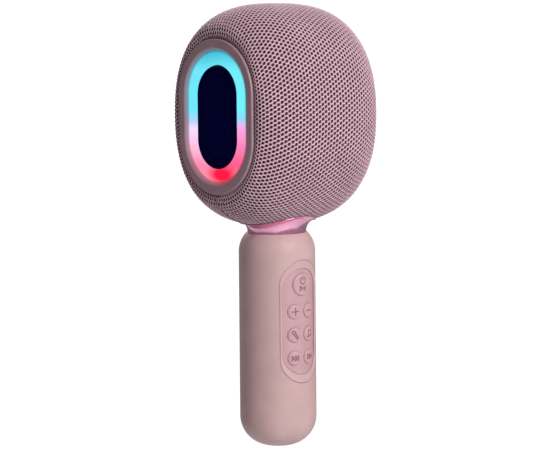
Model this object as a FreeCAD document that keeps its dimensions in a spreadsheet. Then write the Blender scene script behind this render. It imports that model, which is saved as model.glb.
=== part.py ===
import FreeCAD, Part
import math
import os
import Sketcher

# A hand-held karaoke microphone with its own loudspeaker: a round handle with a keypad, a flared neck
# ring and a fabric-covered head with a light ring on each side.
# Axes: +Z runs up the handle's axis from its bottom, -Y is the keypad side, the light rings face +X and -X.
# All sizes are in millimetres.

SIZES = {
    # handle
    "handle_radius": (20.0, "outer radius of the grip"),
    "handle_wall": (2.2, "wall of the handle shell"),
    "handle_height": (111.6, "top face of the handle"),
    "bottom_round": (15.5, "radius of the rounding at the handle's lower end"),
    "grip_top": (33.5, "top of the straight grip band under the keypad"),
    "shell_draft": (0.1, "how much the shell narrows from the grip band to the shoulder"),
    "shoulder_start": (101.7, "height where the shoulder begins"),
    "shoulder_round": (14.5, "radius of the shoulder arc"),
    "handle_top_radius": (16.0, "outer radius at the handle's top face"),
    "collar_bottom": (98.0, "height of the ledge under the collar"),
    "collar_radius": (14.4, "bore of the handle's mouth"),
    # keypad
    "keypad_height": (66.6, "height of the keypad's centre"),
    "window_width": (12.6, "half width of the keypad window"),
    "window_height": (32.0, "half height of the keypad window"),
    "window_gap": (0.15, "gap between the window and the bezel"),
    "joint_gap": (0.2, "gap between large parts that slip together"),
    "panel_width": (10.95, "half width of the recessed panel"),
    "panel_height": (27.3, "half height of the recessed panel"),
    "panel_radius": (18.9, "radius of the panel's face about the handle's axis"),
    "panel_back": (14.6, "distance from the axis to the panel's flat back"),
    "bezel_inside": (16.8, "inner radius of the keypad bezel"),
    "button_top": (19.85, "radius of the button tops about the handle's axis"),
    "button_gap": (0.2, "gap around a button"),
    "button_radius": (3.8, "radius of a small button"),
    "power_radius": (5.8, "radius of the power button"),
    "button_flange": (0.7, "overhang of a button's retaining flange"),
    "flange_front": (14.3, "distance from the axis to the front of the flanges"),
    "flange_back": (13.5, "distance from the axis to the back of the flanges"),
    "nub_radius": (1.0, "radius of a button's actuating nub"),
    "nub_back": (12.9, "distance from the axis to the nub's tip"),
    "column_offset": (4.75, "sideways place of the two button columns"),
    "power_offset": (19.2, "power button above the keypad's centre"),
    "first_row": (5.4, "first button row above the keypad's centre"),
    "second_row": (-6.7, "second button row from the keypad's centre"),
    "third_row": (-18.7, "third button row from the keypad's centre"),
    "switch_front": (12.1, "distance from the axis to the switch tops"),
    "switch_side": (4.4, "side of a switch housing"),
    "board_front": (10.9, "distance from the axis to the keypad board's face"),
    "board_thick": (1.2, "thickness of every circuit board"),
    "board_width": (8.5, "half width of the keypad board"),
    "board_height": (27.0, "half height of the keypad board"),
    "board_screw_side": (6.6, "sideways place of the keypad board screws"),
    "board_screw_rise": (24.0, "keypad board screws above and below its centre"),
    # chassis and battery
    "chassis_width": (11.0, "half width of the battery chassis"),
    "chassis_front": (7.0, "distance from the axis to the chassis plate's face"),
    "chassis_wall": (1.5, "plate thickness of the chassis"),
    "chassis_bottom": (24.0, "lowest wall of the chassis"),
    "chassis_top": (97.9, "top face of the chassis"),
    "chassis_depth": (7.0, "how far the chassis reaches behind the axis"),
    "battery_radius": (9.2, "radius of the battery cell"),
    "battery_length": (65.0, "length of the battery cell"),
    "battery_bottom": (28.0, "lower end of the battery cell"),
    "battery_back": (4.5, "battery axis behind the handle's axis"),
    # charging socket
    "charge_board_top": (16.2, "top face of the charging board"),
    "charge_board_width": (8.0, "half width of the charging board"),
    "charge_board_front": (10.0, "charging board's reach in front of the axis"),
    "charge_board_back": (15.0, "charging board's reach behind the axis"),
    "charge_post_side": (6.0, "sideways place of the charging board posts"),
    "charge_post_front": (5.0, "charging board posts in front of the axis"),
    "socket_width": (4.47, "half width of the socket shell"),
    "socket_height": (1.63, "half height of the socket shell"),
    "socket_wall": (0.3, "wall of the socket shell"),
    "socket_back": (12.3, "inner end of the socket shell"),
    "socket_mouth": (19.3, "mouth of the socket shell"),
    "tongue_half": (0.34, "half thickness of the socket's tongue"),
    "tongue_end": (1.0, "socket's tongue ends behind the mouth"),
    "socket_gap": (0.3, "gap around the socket in the handle wall"),
    # neck
    "core_radius": (12.2, "outer radius of the neck core"),
    "core_bore": (8.0, "bore of the neck core"),
    "flange_radius": (17.0, "radius of the neck core's saddle flange"),
    "ring_foot_radius": (15.2, "neck ring radius where it meets the handle"),
    "ring_rim_radius": (20.2, "neck ring radius under the head"),
    "ring_rim_height": (117.5, "height where the flare reaches the rim"),
    "ring_flare": (6.0, "radius of the neck ring's concave flare"),
    "neck_screw_circle": (14.0, "pitch radius of the neck screws"),
    "neck_screw_seat": (121.9, "height under the neck screws' heads"),
    "cover_hole": (16.5, "radius of the fabric's opening at the neck"),
    # head
    "head_height": (172.4, "height of the head's centre"),
    "head_half_height": (57.3, "half height of the head"),
    "head_half_depth": (42.4, "half depth of the head, front to back"),
    "head_face": (40.7, "distance from the centre to the head's side faces"),
    "head_power": (2.2, "exponent of the head's outline"),
    "side_power": (2.9, "exponent of the head's narrowing towards its sides"),
    "side_reach": (51.3, "where the head's narrowing would close"),
    "edge_round": (2.4, "rounding of the head's side edges"),
    "least_round": (0.6, "smallest rounding of the inner side edges"),
    "fabric_thick": (1.2, "thickness of the fabric cover"),
    "frame_thick": (2.0, "wall of the head frame"),
    "neck_zone_low": (100.0, "lower end of the cuts for the neck's opening"),
    "neck_zone_high": (130.0, "upper end of the cuts for the neck's opening"),
    "neck_flange_thick": (2.5, "thickness of the neck core's saddle flange"),
    "slot_pitch": (11.0, "sideways pitch of the frame's sound slots"),
    "slot_rise": (26.0, "vertical pitch of the frame's sound slots"),
    "slot_width": (5.0, "width of a sound slot"),
    "slot_height": (18.0, "height of a sound slot"),
    # side bezel, light ring and passive radiator: outlines are stadiums, half width and straight half length
    "straight": (11.0, "straight half length shared by the side outlines"),
    "bezel_outer": (28.3, "half width of the side bezel"),
    "bezel_skirt": (26.1, "half width of the bezel's skirt"),
    "bezel_inner": (22.3, "half width of the bezel's opening"),
    "bezel_lead": (1.8, "width of the slope around the bezel's opening"),
    "bezel_slope": (1.3, "depth of the slope around the bezel's opening"),
    "bezel_face": (41.5, "distance from the centre to the bezel's face"),
    "bezel_ledge": (39.7, "distance from the centre to the bezel's ledge"),
    "bezel_back": (35.5, "distance from the centre to the end of the skirt"),
    "bezel_round": (0.9, "rounding of the bezel's outer edge"),
    "light_outer": (22.1, "half width of the light ring"),
    "light_inner": (15.3, "half width of the light ring's opening"),
    "light_face": (40.2, "distance from the centre to the light ring's face"),
    "light_thick": (1.8, "thickness of the light ring"),
    "led_board_back": (36.1, "distance from the centre to the back of the light board"),
    "led_side": (3.2, "side of one light"),
    "led_height": (0.8, "height of one light"),
    "radiator_flange": (17.8, "half width of the radiator frame's flange"),
    "radiator_outer": (15.1, "half width of the radiator frame"),
    "radiator_inner": (13.9, "half width of the radiator frame's opening"),
    "radiator_face": (39.9, "distance from the centre to the radiator's face"),
    "plate_width": (9.6, "half width of the radiator plate"),
    "plate_gap": (0.3, "gap around the radiator plate"),
    "plate_thick": (1.5, "thickness of the radiator plate"),
    "surround_thick": (0.8, "thickness of the rubber surrounds"),
    # acoustic box
    "box_width": (32.0, "half width of the acoustic box"),
    "box_front": (27.0, "acoustic box's reach in front of the axis"),
    "box_back": (25.0, "acoustic box's reach behind the axis"),
    "box_half_height": (30.0, "half height of the acoustic box"),
    "box_wall": (2.0, "wall of the acoustic box"),
    "box_screw_side": (27.6, "sideways place of the lid screws"),
    "box_screw_rise": (25.6, "lid screws above and below the centre"),
    "ear_side": (24.0, "sideways place of the mounting ears"),
    "ear_rise": (40.0, "mounting ears above and below the centre"),
    "ear_half": (1.5, "half thickness of the mounting ears"),
    "boss_radius": (4.2, "radius of the frame bosses and ears"),
    "frame_screw_seat": (8.0, "distance behind the axis to the frame screws' seats"),
    "main_board_height": (131.2, "top face of the main board"),
    "main_board_width": (18.0, "half width of the main board"),
    "main_board_depth": (14.0, "half depth of the main board"),
    "post_side": (14.0, "sideways place of the main board posts"),
    "post_depth": (10.0, "front and rear place of the main board posts"),
    "lid_boss_front": (8.0, "inner end of the lid screw bosses behind the axis"),
    "lid_hole_front": (12.0, "inner end of the lid screw holes behind the axis"),
    # loudspeaker
    "driver_hole": (22.0, "radius of the loudspeaker opening"),
    "driver_flange": (26.0, "radius of the loudspeaker's flange"),
    "coil_radius": (6.3, "outer radius of the voice coil"),
    "coil_wall": (0.4, "wall of the voice coil"),
    "coil_gap": (0.3, "gap on each side of the voice coil"),
    "magnet_radius": (15.0, "radius of the magnet"),
    "cone_radius": (19.5, "outer radius of the cone"),
    "basket_depth": (14.2, "depth of the loudspeaker's basket"),
    "basket_wall": (1.0, "wall of the basket behind its rim"),
    "coil_reach": (1.0, "how far the voice coil reaches past the magnet's front"),
    "basket_rim": (1.6, "thickness of the basket's rim in front of the box"),
    "coil_depth": (9.0, "depth of the cone's root behind the box's front"),
    "surround_rise": (0.9, "the cone's edge in front of the box's front"),
    "surround_sheet": (0.6, "thickness of the loudspeaker's surround"),
    "spider_place": (2.6, "spider in front of the basket's floor"),
    "spider_thick": (0.4, "thickness of the spider"),
    "cap_drop": (1.0, "step of the dust cap's slope"),
    "cone_thick": (0.5, "thickness of the cone"),
    # microphone
    "capsule_radius": (5.2, "radius of the microphone capsule"),
    "boot_radius": (8.0, "radius of the rubber boot"),
    "cup_radius": (9.4, "radius of the microphone cup"),
    "capsule_bottom": (216.0, "lower face of the capsule"),
    "capsule_top": (222.5, "upper face of the capsule"),
    "cup_wall": (1.5, "thickness of the microphone cup's floor"),
    "cup_lip": (1.0, "the cup's edge above the capsule, and its stem inside the boot"),
    "cup_foot": (2.0, "thickness of the microphone cup's foot"),
    "wire_hole": (2.0, "radius of the hole for the capsule's wires"),
    "foam_thick": (2.4, "thickness of the foam over the capsule"),
    "cup_floor": (215.0, "floor of the microphone cup"),
    # fasteners and wiring
    "screw_radius": (0.9, "shank radius of the small screws"),
    "screw_head": (1.6, "head radius of the small screws"),
    "screw_head_height": (1.4, "head height of every screw"),
    "screw_clearance": (0.1, "radial clearance around a screw"),
    "thread_gap": (0.05, "gap around a screw in its threaded hole"),
    "head_gap": (0.3, "gap around a screw's head"),
    "boss_wall": (0.6, "wall of a screw boss outside the screw's head"),
    "cut_past": (1.0, "how far a cut reaches past the face it opens"),
    "pole_step": (1.0, "step between the magnet's edge and its plates"),
    "tip_room": (1.0, "room past the end of a hole"),
    "chassis_screw_length": (9.0, "length of the chassis screws"),
    "charge_screw_length": (7.0, "length of the charging board screws"),
    "neck_screw_length": (8.4, "length of the neck screws"),
    "lid_screw_length": (13.0, "length of the lid screws"),
    "main_screw_length": (8.0, "length of the main board screws"),
    "chassis_cap": (3.0, "extra depth of the chassis's top wall"),
    "long_screw_radius": (1.15, "shank radius of the frame screws"),
    "long_screw_head": (2.3, "head radius of the frame screws"),
    "loom_radius": (1.0, "radius of the internal wiring loom"),
    "loom_notch_drop": (1.4, "the loom's notch reaches in front of the chassis plate"),
    "loom_notch": (9.0, "depth of the notch that lets the loom through the chassis"),
    "loom_start": (76.0, "lower end of the loom"),
    "loom_bend": (89.5, "height where the loom leaves the keypad board"),
    "loom_rise": (97.0, "height where the loom enters the neck"),
    "loom_front": (4.5, "loom in front of the axis inside the neck"),
}

LED_COUNT = 20
HEAD_STATIONS = 8
SLOT_COLUMNS = range(-2, 3)
SLOT_ROWS = range(-1, 2)
SECTION_POINTS = 32
FULL_TURN = 360.0
NEAR = 1e-3
BEND_SHARE = 0.45
SIDES = {"right": 0.0, "left": 180.0}
BUTTON_PLACES = {
    "power": (0, "power_offset"),
    "plus": (-1, "first_row"),
    "minus": (1, "first_row"),
    "echo": (-1, "second_row"),
    "mode": (1, "second_row"),
    "previous": (-1, "third_row"),
    "next": (1, "third_row"),
}

Vector = FreeCAD.Vector
doc = FreeCAD.newDocument("karaoke_microphone")
nodes = []


# ---------------------------------------------------------------- sizes that remember their expression

class Size:
    """A number together with the spreadsheet expression that gives it."""

    def __init__(self, value, text):
        self.value = value
        self.text = text

    def __add__(self, other):
        return Size(self.value + number(other), f"({self.text} + {text(other)})")

    def __radd__(self, other):
        return Size(number(other) + self.value, f"({text(other)} + {self.text})")

    def __sub__(self, other):
        return Size(self.value - number(other), f"({self.text} - {text(other)})")

    def __mul__(self, other):
        return Size(self.value * number(other), f"({self.text} * {text(other)})")

    def __rmul__(self, other):
        return self * other

    def __neg__(self):
        return self * -1


def number(size):
    return size.value if isinstance(size, Size) else float(size)


def text(size):
    return size.text if isinstance(size, Size) else f"{float(size):.6f}"


def make_sheet():
    sheet = doc.addObject("Spreadsheet::Sheet", "Sizes")
    for row, (name, (value, meaning)) in enumerate(SIZES.items(), start=1):
        sheet.set(f"A{row}", meaning)
        sheet.set(f"B{row}", str(value))
        sheet.setAlias(f"B{row}", name)
    doc.recompute()
    return sheet


class Dimensions:
    """Reads each named size back from the sheet."""

    def __init__(self, sheet):
        self.sheet = sheet

    def __getattr__(self, name):
        return Size(float(self.sheet.get(name)), f"Sizes.{name}")


S = Dimensions(make_sheet())


def bind(thing, **sizes):
    """Bind properties to sheet expressions; a double underscore stands for a dot."""
    for name, size in sizes.items():
        thing.setExpression(name.replace("__", "."), text(size))


def node(thing, label):
    thing.Label = label
    nodes.append(thing)
    return thing


# ---------------------------------------------------------------- sketches

def sketch_on(body, role, offset=0):
    sketch = body.newObject("Sketcher::SketchObject", "Sketch")
    plane = [part for part in body.Origin.OriginFeatures if part.Role == role][0]
    sketch.AttachmentSupport = [(plane, "")]
    sketch.MapMode = "FlatFace"
    bind(sketch, AttachmentOffset__Base__z=offset)
    return sketch


def hold(sketch, kind, geometry, end, size):
    """Fix one coordinate of a point; a point on an axis is put on that axis."""
    if number(size) == 0:
        axis = -2 if kind == "DistanceX" else -1
        sketch.addConstraint(Sketcher.Constraint("PointOnObject", geometry, end, axis))
        return
    index = sketch.addConstraint(Sketcher.Constraint(kind, -1, 1, geometry, end, number(size)))
    sketch.setExpression(f"Constraints[{index}]", text(size))


def arc_between(start, end, centre, turn):
    """The arc from start to end about centre; turn is 1 anticlockwise and -1 clockwise."""
    first = math.atan2(start.y - centre.y, start.x - centre.x)
    last = math.atan2(end.y - centre.y, end.x - centre.x)
    sweep = (turn * (last - first)) % (2 * math.pi)
    middle = first + turn * sweep / 2
    radius = (start - centre).Length
    through = centre + radius * Vector(math.cos(middle), math.sin(middle), 0)
    return Part.Arc(start, through, end)


def draw_outline(sketch, corners):
    """Closed outline. A corner is (x, y), or (x, y, (centre x, centre y, turn)) to arrive there by an arc."""
    edges = []
    for before, corner in zip(corners[-1:] + corners[:-1], corners):
        start = Vector(number(before[0]), number(before[1]), 0)
        end = Vector(number(corner[0]), number(corner[1]), 0)
        if len(corner) == 2:
            curve = Part.LineSegment(start, end)
        else:
            centre_x, centre_y, turn = corner[2]
            curve = arc_between(start, end, Vector(number(centre_x), number(centre_y), 0), turn)
        geometry = sketch.addGeometry(curve)
        first = 1 if (sketch.getPoint(geometry, 1) - start).Length < 1e-6 else 2
        edges.append((geometry, first, 3 - first, start, end))
    for this, after in zip(edges, edges[1:] + edges[:1]):
        sketch.addConstraint(Sketcher.Constraint("Coincident", this[0], this[2], after[0], after[1]))
    for (geometry, first, last, start, end), corner in zip(edges, corners):
        hold(sketch, "DistanceX", geometry, last, corner[0])
        hold(sketch, "DistanceY", geometry, last, corner[1])
        if len(corner) == 3:
            flat = abs(end.x - start.x) > abs(end.y - start.y)
            kind, size = ("DistanceY", corner[2][1]) if flat else ("DistanceX", corner[2][0])
            hold(sketch, kind, geometry, 3, size)


def draw_rectangle(sketch, left, right, bottom, top):
    draw_outline(sketch, [(right, bottom), (right, top), (left, top), (left, bottom)])


def draw_circle(sketch, x, y, radius):
    circle = Part.Circle(Vector(number(x), number(y), 0), Vector(0, 0, 1), number(radius))
    geometry = sketch.addGeometry(circle)
    hold(sketch, "DistanceX", geometry, 3, x)
    hold(sketch, "DistanceY", geometry, 3, y)
    index = sketch.addConstraint(Sketcher.Constraint("Radius", geometry, number(radius)))
    sketch.setExpression(f"Constraints[{index}]", text(radius))


def draw_stadium(sketch, half_width, straight, centre=0):
    """Upright stadium: two straight sides joined by half circles above and below the centre."""
    top = centre + straight
    bottom = centre + -straight
    draw_outline(sketch, [
        (half_width, bottom, (0, bottom, 1)),
        (half_width, top),
        (-half_width, top, (0, top, 1)),
        (-half_width, bottom),
    ])


def draw_flat_stadium(sketch, half_width, half_height, centre):
    """Lying stadium for the charging socket."""
    reach = half_width - half_height
    draw_outline(sketch, [
        (reach, centre + -half_height),
        (reach, centre + half_height, (reach, centre, 1)),
        (-reach, centre + half_height),
        (-reach, centre + -half_height, (-reach, centre, 1)),
    ])


# ---------------------------------------------------------------- features

def new_body(label):
    return node(doc.addObject("PartDesign::Body", label), label)


def pad(body, sketch, length, reverse=False):
    feature = body.newObject("PartDesign::Pad", "Pad")
    feature.Profile = sketch
    feature.Reversed = reverse
    bind(feature, Length=length)
    return feature


def pocket(body, sketch, length, reverse=False):
    feature = body.newObject("PartDesign::Pocket", "Pocket")
    feature.Profile = sketch
    feature.Reversed = reverse
    bind(feature, Length=length)
    return feature


def turn_profile(body, kind, role, corners):
    """Revolution or Groove of an outline about the sketch's vertical axis."""
    sketch = sketch_on(body, role)
    draw_outline(sketch, corners)
    feature = body.newObject(f"PartDesign::{kind}", kind)
    feature.Profile = sketch
    feature.ReferenceAxis = (sketch, ["V_Axis"])
    feature.Angle = FULL_TURN
    return feature


def turned(label, corners, role="XZ_Plane"):
    body = new_body(label)
    turn_profile(body, "Revolution", role, corners)
    return body


def ring_corners(inner, outer, low, high):
    return [(outer, low), (outer, high), (inner, high), (inner, low)]


def pick_edges(body, wanted):
    """Names of the body's edges whose points all satisfy the test."""
    doc.recompute()
    names = []
    for index, edge in enumerate(body.Shape.Edges, start=1):
        points = edge.discretize(5)
        if all(wanted(point) for point in points):
            names.append(f"Edge{index}")
    return names


def round_edges(body, wanted, radius):
    names = pick_edges(body, wanted)
    base = body.Tip
    feature = body.newObject("PartDesign::Fillet", "Fillet")
    feature.Base = (base, names)
    bind(feature, Radius=radius)
    body.Tip = feature
    return feature


def slope_edges(body, wanted, width, depth):
    names = pick_edges(body, wanted)
    base = body.Tip
    feature = body.newObject("PartDesign::Chamfer", "Chamfer")
    feature.Base = (base, names)
    feature.ChamferType = "Two distances"
    bind(feature, Size=depth, Size2=width)
    body.Tip = feature
    return feature


def bar(along, base, radius, length):
    """Round bar from base; along is a unit vector, and base, radius and length are sizes."""
    cylinder = doc.addObject("Part::Cylinder", "Bar")
    bind(cylinder, Radius=radius, Height=length)
    cylinder.Placement.Rotation = FreeCAD.Rotation(Vector(0, 0, 1), along)
    bind(cylinder, Placement__Base__x=base[0], Placement__Base__y=base[1], Placement__Base__z=base[2])
    return cylinder


def fuse(parts):
    joined = doc.addObject("Part::MultiFuse", "Fuse")
    joined.Shapes = parts
    return joined


def group(label, parts):
    """Identical pieces that share one node."""
    compound = node(doc.addObject("Part::Compound", label), label)
    compound.Links = parts
    return compound


def screws(label, seats, along, length, radius=None, head=None):
    """One screw at each seat: the head stands behind the seat and the shank runs along."""
    radius = radius or S.screw_radius
    head = head or S.screw_head
    made = []
    for seat in seats:
        top = bar(along * -1, seat, head, S.screw_head_height)
        made.append(fuse([top, bar(along, seat, radius, length)]))
    return group(label, made)


def shape_node(label, shape):
    feature = doc.addObject("Part::Feature", label)
    feature.Shape = shape
    feature.Placement = FreeCAD.Placement()
    return node(feature, label)


# ---------------------------------------------------------------- handle

def handle_shell():
    inner = S.handle_radius - S.handle_wall
    flat = S.handle_radius - S.bottom_round
    shoulder_radius = S.handle_radius - S.shell_draft
    shoulder_centre = shoulder_radius - S.shoulder_round
    body = turned("handle_shell", [
        (0, 0),
        (flat, 0),
        (S.handle_radius, S.bottom_round, (flat, S.bottom_round, 1)),
        (S.handle_radius, S.grip_top),
        (shoulder_radius, S.shoulder_start),
        (S.handle_top_radius, S.handle_height, (shoulder_centre, S.shoulder_start, 1)),
        (S.collar_radius, S.handle_height),
        (S.collar_radius, S.collar_bottom),
        (inner, S.collar_bottom),
        (inner, S.bottom_round),
        (flat, S.handle_wall, (flat, S.bottom_round, -1)),
        (0, S.handle_wall),
    ])
    window = sketch_on(body, "XZ_Plane")
    draw_stadium(window, S.window_width, S.window_height - S.window_width, S.keypad_height)
    pocket(body, window, S.handle_radius + S.cut_past, reverse=True)
    mouth = sketch_on(body, "XZ_Plane")
    centre = S.charge_board_top + S.socket_height
    draw_flat_stadium(mouth, S.socket_width + S.socket_gap, S.socket_height + S.socket_gap, centre)
    pocket(body, mouth, S.handle_radius + S.cut_past)
    return body


def handle_collar():
    inner = S.core_radius + S.screw_clearance
    return turned("handle_collar", ring_corners(inner, S.collar_radius, S.collar_bottom, S.handle_height))


# ---------------------------------------------------------------- keypad

def button_place(name):
    side, row = BUTTON_PLACES[name]
    return side * S.column_offset, S.keypad_height + getattr(S, row)


def button_size(name):
    return S.power_radius if name == "power" else S.button_radius


def trim_outside(body, radius):
    """Keep only what lies within a radius of the handle's axis."""
    far = S.handle_radius * 2
    turn_profile(body, "Groove", "XZ_Plane", ring_corners(radius, far, 0, S.handle_height))


def keypad_bezel():
    body = new_body("keypad_bezel")
    sketch = sketch_on(body, "XZ_Plane")
    width = S.window_width - S.window_gap
    draw_stadium(sketch, width, S.window_height - S.window_width, S.keypad_height)
    draw_stadium(sketch, S.panel_width, S.panel_height - S.panel_width, S.keypad_height)
    pad(body, sketch, S.handle_radius + S.cut_past)
    trim_outside(body, S.handle_radius - S.window_gap)
    turn_profile(body, "Groove", "XZ_Plane", ring_corners(0, S.bezel_inside, 0, S.handle_height))
    return body


def keypad_panel():
    body = new_body("keypad_panel")
    sketch = sketch_on(body, "XZ_Plane", S.panel_back)
    draw_stadium(sketch, S.panel_width, S.panel_height - S.panel_width, S.keypad_height)
    for name in BUTTON_PLACES:
        x, z = button_place(name)
        draw_circle(sketch, x, z, button_size(name) + S.button_gap)
    pad(body, sketch, S.handle_radius - S.panel_back)
    trim_outside(body, S.panel_radius)
    return body


def button(name):
    """Round cap, a wider flange that keeps it behind the panel, and a nub that presses the switch."""
    body = new_body(f"button_{name}")
    x, z = button_place(name)
    stages = [
        (button_size(name), S.flange_front, S.handle_radius),
        (button_size(name) + S.button_flange, S.flange_back, S.flange_front),
        (S.nub_radius, S.nub_back, S.flange_back),
    ]
    for radius, back, front in stages:
        sketch = sketch_on(body, "XZ_Plane", back)
        draw_circle(sketch, x, z, radius)
        pad(body, sketch, front - back)
    trim_outside(body, S.button_top)
    return body


def keypad_board():
    body = new_body("keypad_board")
    sketch = sketch_on(body, "XZ_Plane", S.board_front - S.board_thick)
    draw_rectangle(sketch, -S.board_width, S.board_width, S.keypad_height - S.board_height,
                   S.keypad_height + S.board_height)
    for x, z in board_screw_places():
        draw_circle(sketch, x, z, S.screw_radius + S.screw_clearance)
    pad(body, sketch, S.board_thick)
    return body


def board_screw_places():
    heights = (S.keypad_height - S.board_screw_rise, S.keypad_height + S.board_screw_rise)
    return [(side * S.board_screw_side, height) for side in (-1, 1) for height in heights]


def switch_housings():
    housings = []
    half = S.switch_side * 0.5
    for name in BUTTON_PLACES:
        x, z = button_place(name)
        box = doc.addObject("Part::Box", "Switch")
        bind(box, Length=S.switch_side, Width=S.switch_front - S.board_front, Height=S.switch_side)
        bind(box, Placement__Base__x=x - half,
             Placement__Base__y=-S.switch_front, Placement__Base__z=z - half)
        housings.append(box)
    return group("switch_housings", housings)


# ---------------------------------------------------------------- chassis, battery and charging socket

def chassis():
    """Tray behind the keypad board: a front plate, two side walls, two end walls, bosses and posts."""
    body = new_body("battery_chassis")
    wall = S.chassis_wall
    plate_back = S.chassis_front - wall
    top_wall = S.chassis_top - S.collar_bottom + S.chassis_cap
    plate = sketch_on(body, "XZ_Plane", plate_back)
    draw_rectangle(plate, -S.chassis_width, S.chassis_width, S.chassis_bottom, S.chassis_top)
    pad(body, plate, wall)
    tray = sketch_on(body, "XY_Plane", S.chassis_bottom)
    inside = S.chassis_width - wall + S.screw_clearance
    draw_outline(tray, [
        (-S.chassis_width, -S.chassis_front), (S.chassis_width, -S.chassis_front),
        (S.chassis_width, S.chassis_depth), (inside, S.chassis_depth), (inside, -plate_back),
        (-inside, -plate_back), (-inside, S.chassis_depth), (-S.chassis_width, S.chassis_depth),
    ])
    pad(body, tray, S.chassis_top - S.chassis_bottom)
    for low, thick in ((S.chassis_bottom, wall), (S.chassis_top - top_wall, top_wall)):
        end_wall = sketch_on(body, "XY_Plane", low)
        draw_rectangle(end_wall, -S.chassis_width, S.chassis_width, -S.chassis_front, S.chassis_depth)
        pad(body, end_wall, thick)
    bosses = sketch_on(body, "XZ_Plane", plate_back)
    for x, z in board_screw_places():
        draw_circle(bosses, x, z, S.screw_head + S.boss_wall)
    pad(body, bosses, S.board_front - S.board_thick - plate_back)
    boss_holes = sketch_on(body, "XZ_Plane", plate_back - S.tip_room)
    for x, z in board_screw_places():
        draw_circle(boss_holes, x, z, S.screw_radius + S.thread_gap)
    pocket(body, boss_holes, S.board_front, reverse=True)
    posts = sketch_on(body, "XY_Plane", S.charge_board_top)
    for x, y, _ in charge_screw_seats():
        draw_circle(posts, x, y, S.screw_head + S.boss_wall - S.joint_gap)
    pad(body, posts, S.chassis_bottom - S.charge_board_top)
    post_holes = sketch_on(body, "XY_Plane", S.charge_board_top)
    for x, y, _ in charge_screw_seats():
        draw_circle(post_holes, x, y, S.screw_radius + S.thread_gap)
    pocket(body, post_holes, S.chassis_bottom - S.charge_board_top, reverse=True)
    top_holes = sketch_on(body, "XY_Plane", S.chassis_top)
    for x, y, _ in chassis_screw_seats():
        draw_circle(top_holes, x, y, S.screw_radius + S.screw_clearance)
    pocket(body, top_holes, top_wall)
    head_rooms = sketch_on(body, "XY_Plane", S.chassis_top - top_wall)
    for x, y, _ in chassis_screw_seats():
        draw_circle(head_rooms, x, y, S.screw_head + S.head_gap)
    pocket(body, head_rooms, 2 * S.screw_head_height)
    notch = sketch_on(body, "XY_Plane", S.chassis_top)
    draw_rectangle(notch, -2 * S.loom_radius, 2 * S.loom_radius, -S.chassis_front - S.loom_notch_drop,
                   -S.chassis_front + 3 * wall)
    pocket(body, notch, S.loom_notch)
    return body


def charge_screw_seats():
    seat = S.charge_board_top - S.board_thick
    return [(side * S.charge_post_side, -S.charge_post_front, seat) for side in (-1, 1)]


def chassis_screw_seats():
    middle = (S.core_radius + S.core_bore) * 0.5
    low = S.collar_bottom - S.chassis_cap
    return [(side * middle, 0, low) for side in (-1, 1)]


def battery_cell():
    cell = bar(Vector(0, 0, 1), (0, S.battery_back, S.battery_bottom), S.battery_radius, S.battery_length)
    return node(cell, "battery_cell")


def charge_board():
    body = new_body("charge_board")
    sketch = sketch_on(body, "XY_Plane", S.charge_board_top - S.board_thick)
    draw_rectangle(sketch, -S.charge_board_width, S.charge_board_width, -S.charge_board_front,
                   S.charge_board_back)
    for x, y, _ in charge_screw_seats():
        draw_circle(sketch, x, y, S.screw_radius + S.screw_clearance)
    pad(body, sketch, S.board_thick)
    return body


def socket_shell():
    body = new_body("socket_shell")
    centre = S.charge_board_top + S.socket_height
    back_wall = sketch_on(body, "XZ_Plane", -S.socket_back)
    draw_flat_stadium(back_wall, S.socket_width, S.socket_height, centre)
    pad(body, back_wall, S.socket_wall * 2, reverse=True)
    tube = sketch_on(body, "XZ_Plane", -S.socket_back)
    draw_flat_stadium(tube, S.socket_width, S.socket_height, centre)
    draw_flat_stadium(tube, S.socket_width - S.socket_wall, S.socket_height - S.socket_wall, centre)
    pad(body, tube, S.socket_mouth - S.socket_back, reverse=True)
    return body


def socket_tongue():
    box = node(doc.addObject("Part::Box", "socket_tongue"), "socket_tongue")
    root = S.socket_back + 2 * S.socket_wall
    width = (S.socket_width - 2 * S.socket_height * 0.5) * 2
    thick = S.tongue_half * 2
    bind(box, Length=width, Width=S.socket_mouth - S.tongue_end - root, Height=thick)
    bind(box, Placement__Base__x=width * -0.5, Placement__Base__y=root,
         Placement__Base__z=S.charge_board_top + S.socket_height - S.tongue_half)
    return box


# ---------------------------------------------------------------- the head's form

def head_scale(x):
    """How much the head's outline shrinks at a distance x from its middle."""
    return (1 - abs(x / number(S.side_reach)) ** number(S.side_power)) ** (1 / number(S.side_power))


def signed_power(value, power):
    return math.copysign(abs(value) ** power, value)


def head_outline(x, scale, inset):
    """Superellipse section of the head in a plane of constant x, drawn in by the inset."""
    half_depth = number(S.head_half_depth) * scale - inset
    half_height = number(S.head_half_height) * scale - inset
    power = 2 / number(S.head_power)
    points = []
    for step in range(SECTION_POINTS):
        angle = 2 * math.pi * step / SECTION_POINTS
        y = half_depth * signed_power(math.cos(angle), power)
        z = number(S.head_height) + half_height * signed_power(math.sin(angle), power)
        points.append(Vector(x, y, z))
    curve = Part.BSplineCurve()
    curve.interpolate(Points=points, PeriodicFlag=True)
    return Part.Wire(curve.toShape())


def head_form(inset):
    """The head as a closed solid, drawn in by the inset all round."""
    face = number(S.head_face)
    stations = [face * step / HEAD_STATIONS for step in range(-HEAD_STATIONS, HEAD_STATIONS + 1)]
    shrink = (face - inset) / face
    wires = [head_outline(x * shrink, head_scale(x), inset) for x in stations]
    solid = Part.makeLoft(wires, True)
    rim = [edge for edge in solid.Edges if all(abs(abs(point.x) - face * shrink) < NEAR
                                              for point in edge.discretize(5))]
    return solid.makeFillet(max(number(S.edge_round) - inset / 2, number(S.least_round)), rim)


def cylinder(radius, low, high, x=0.0, y=0.0):
    return Part.makeCylinder(radius, high - low, Vector(x, y, low))


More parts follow.
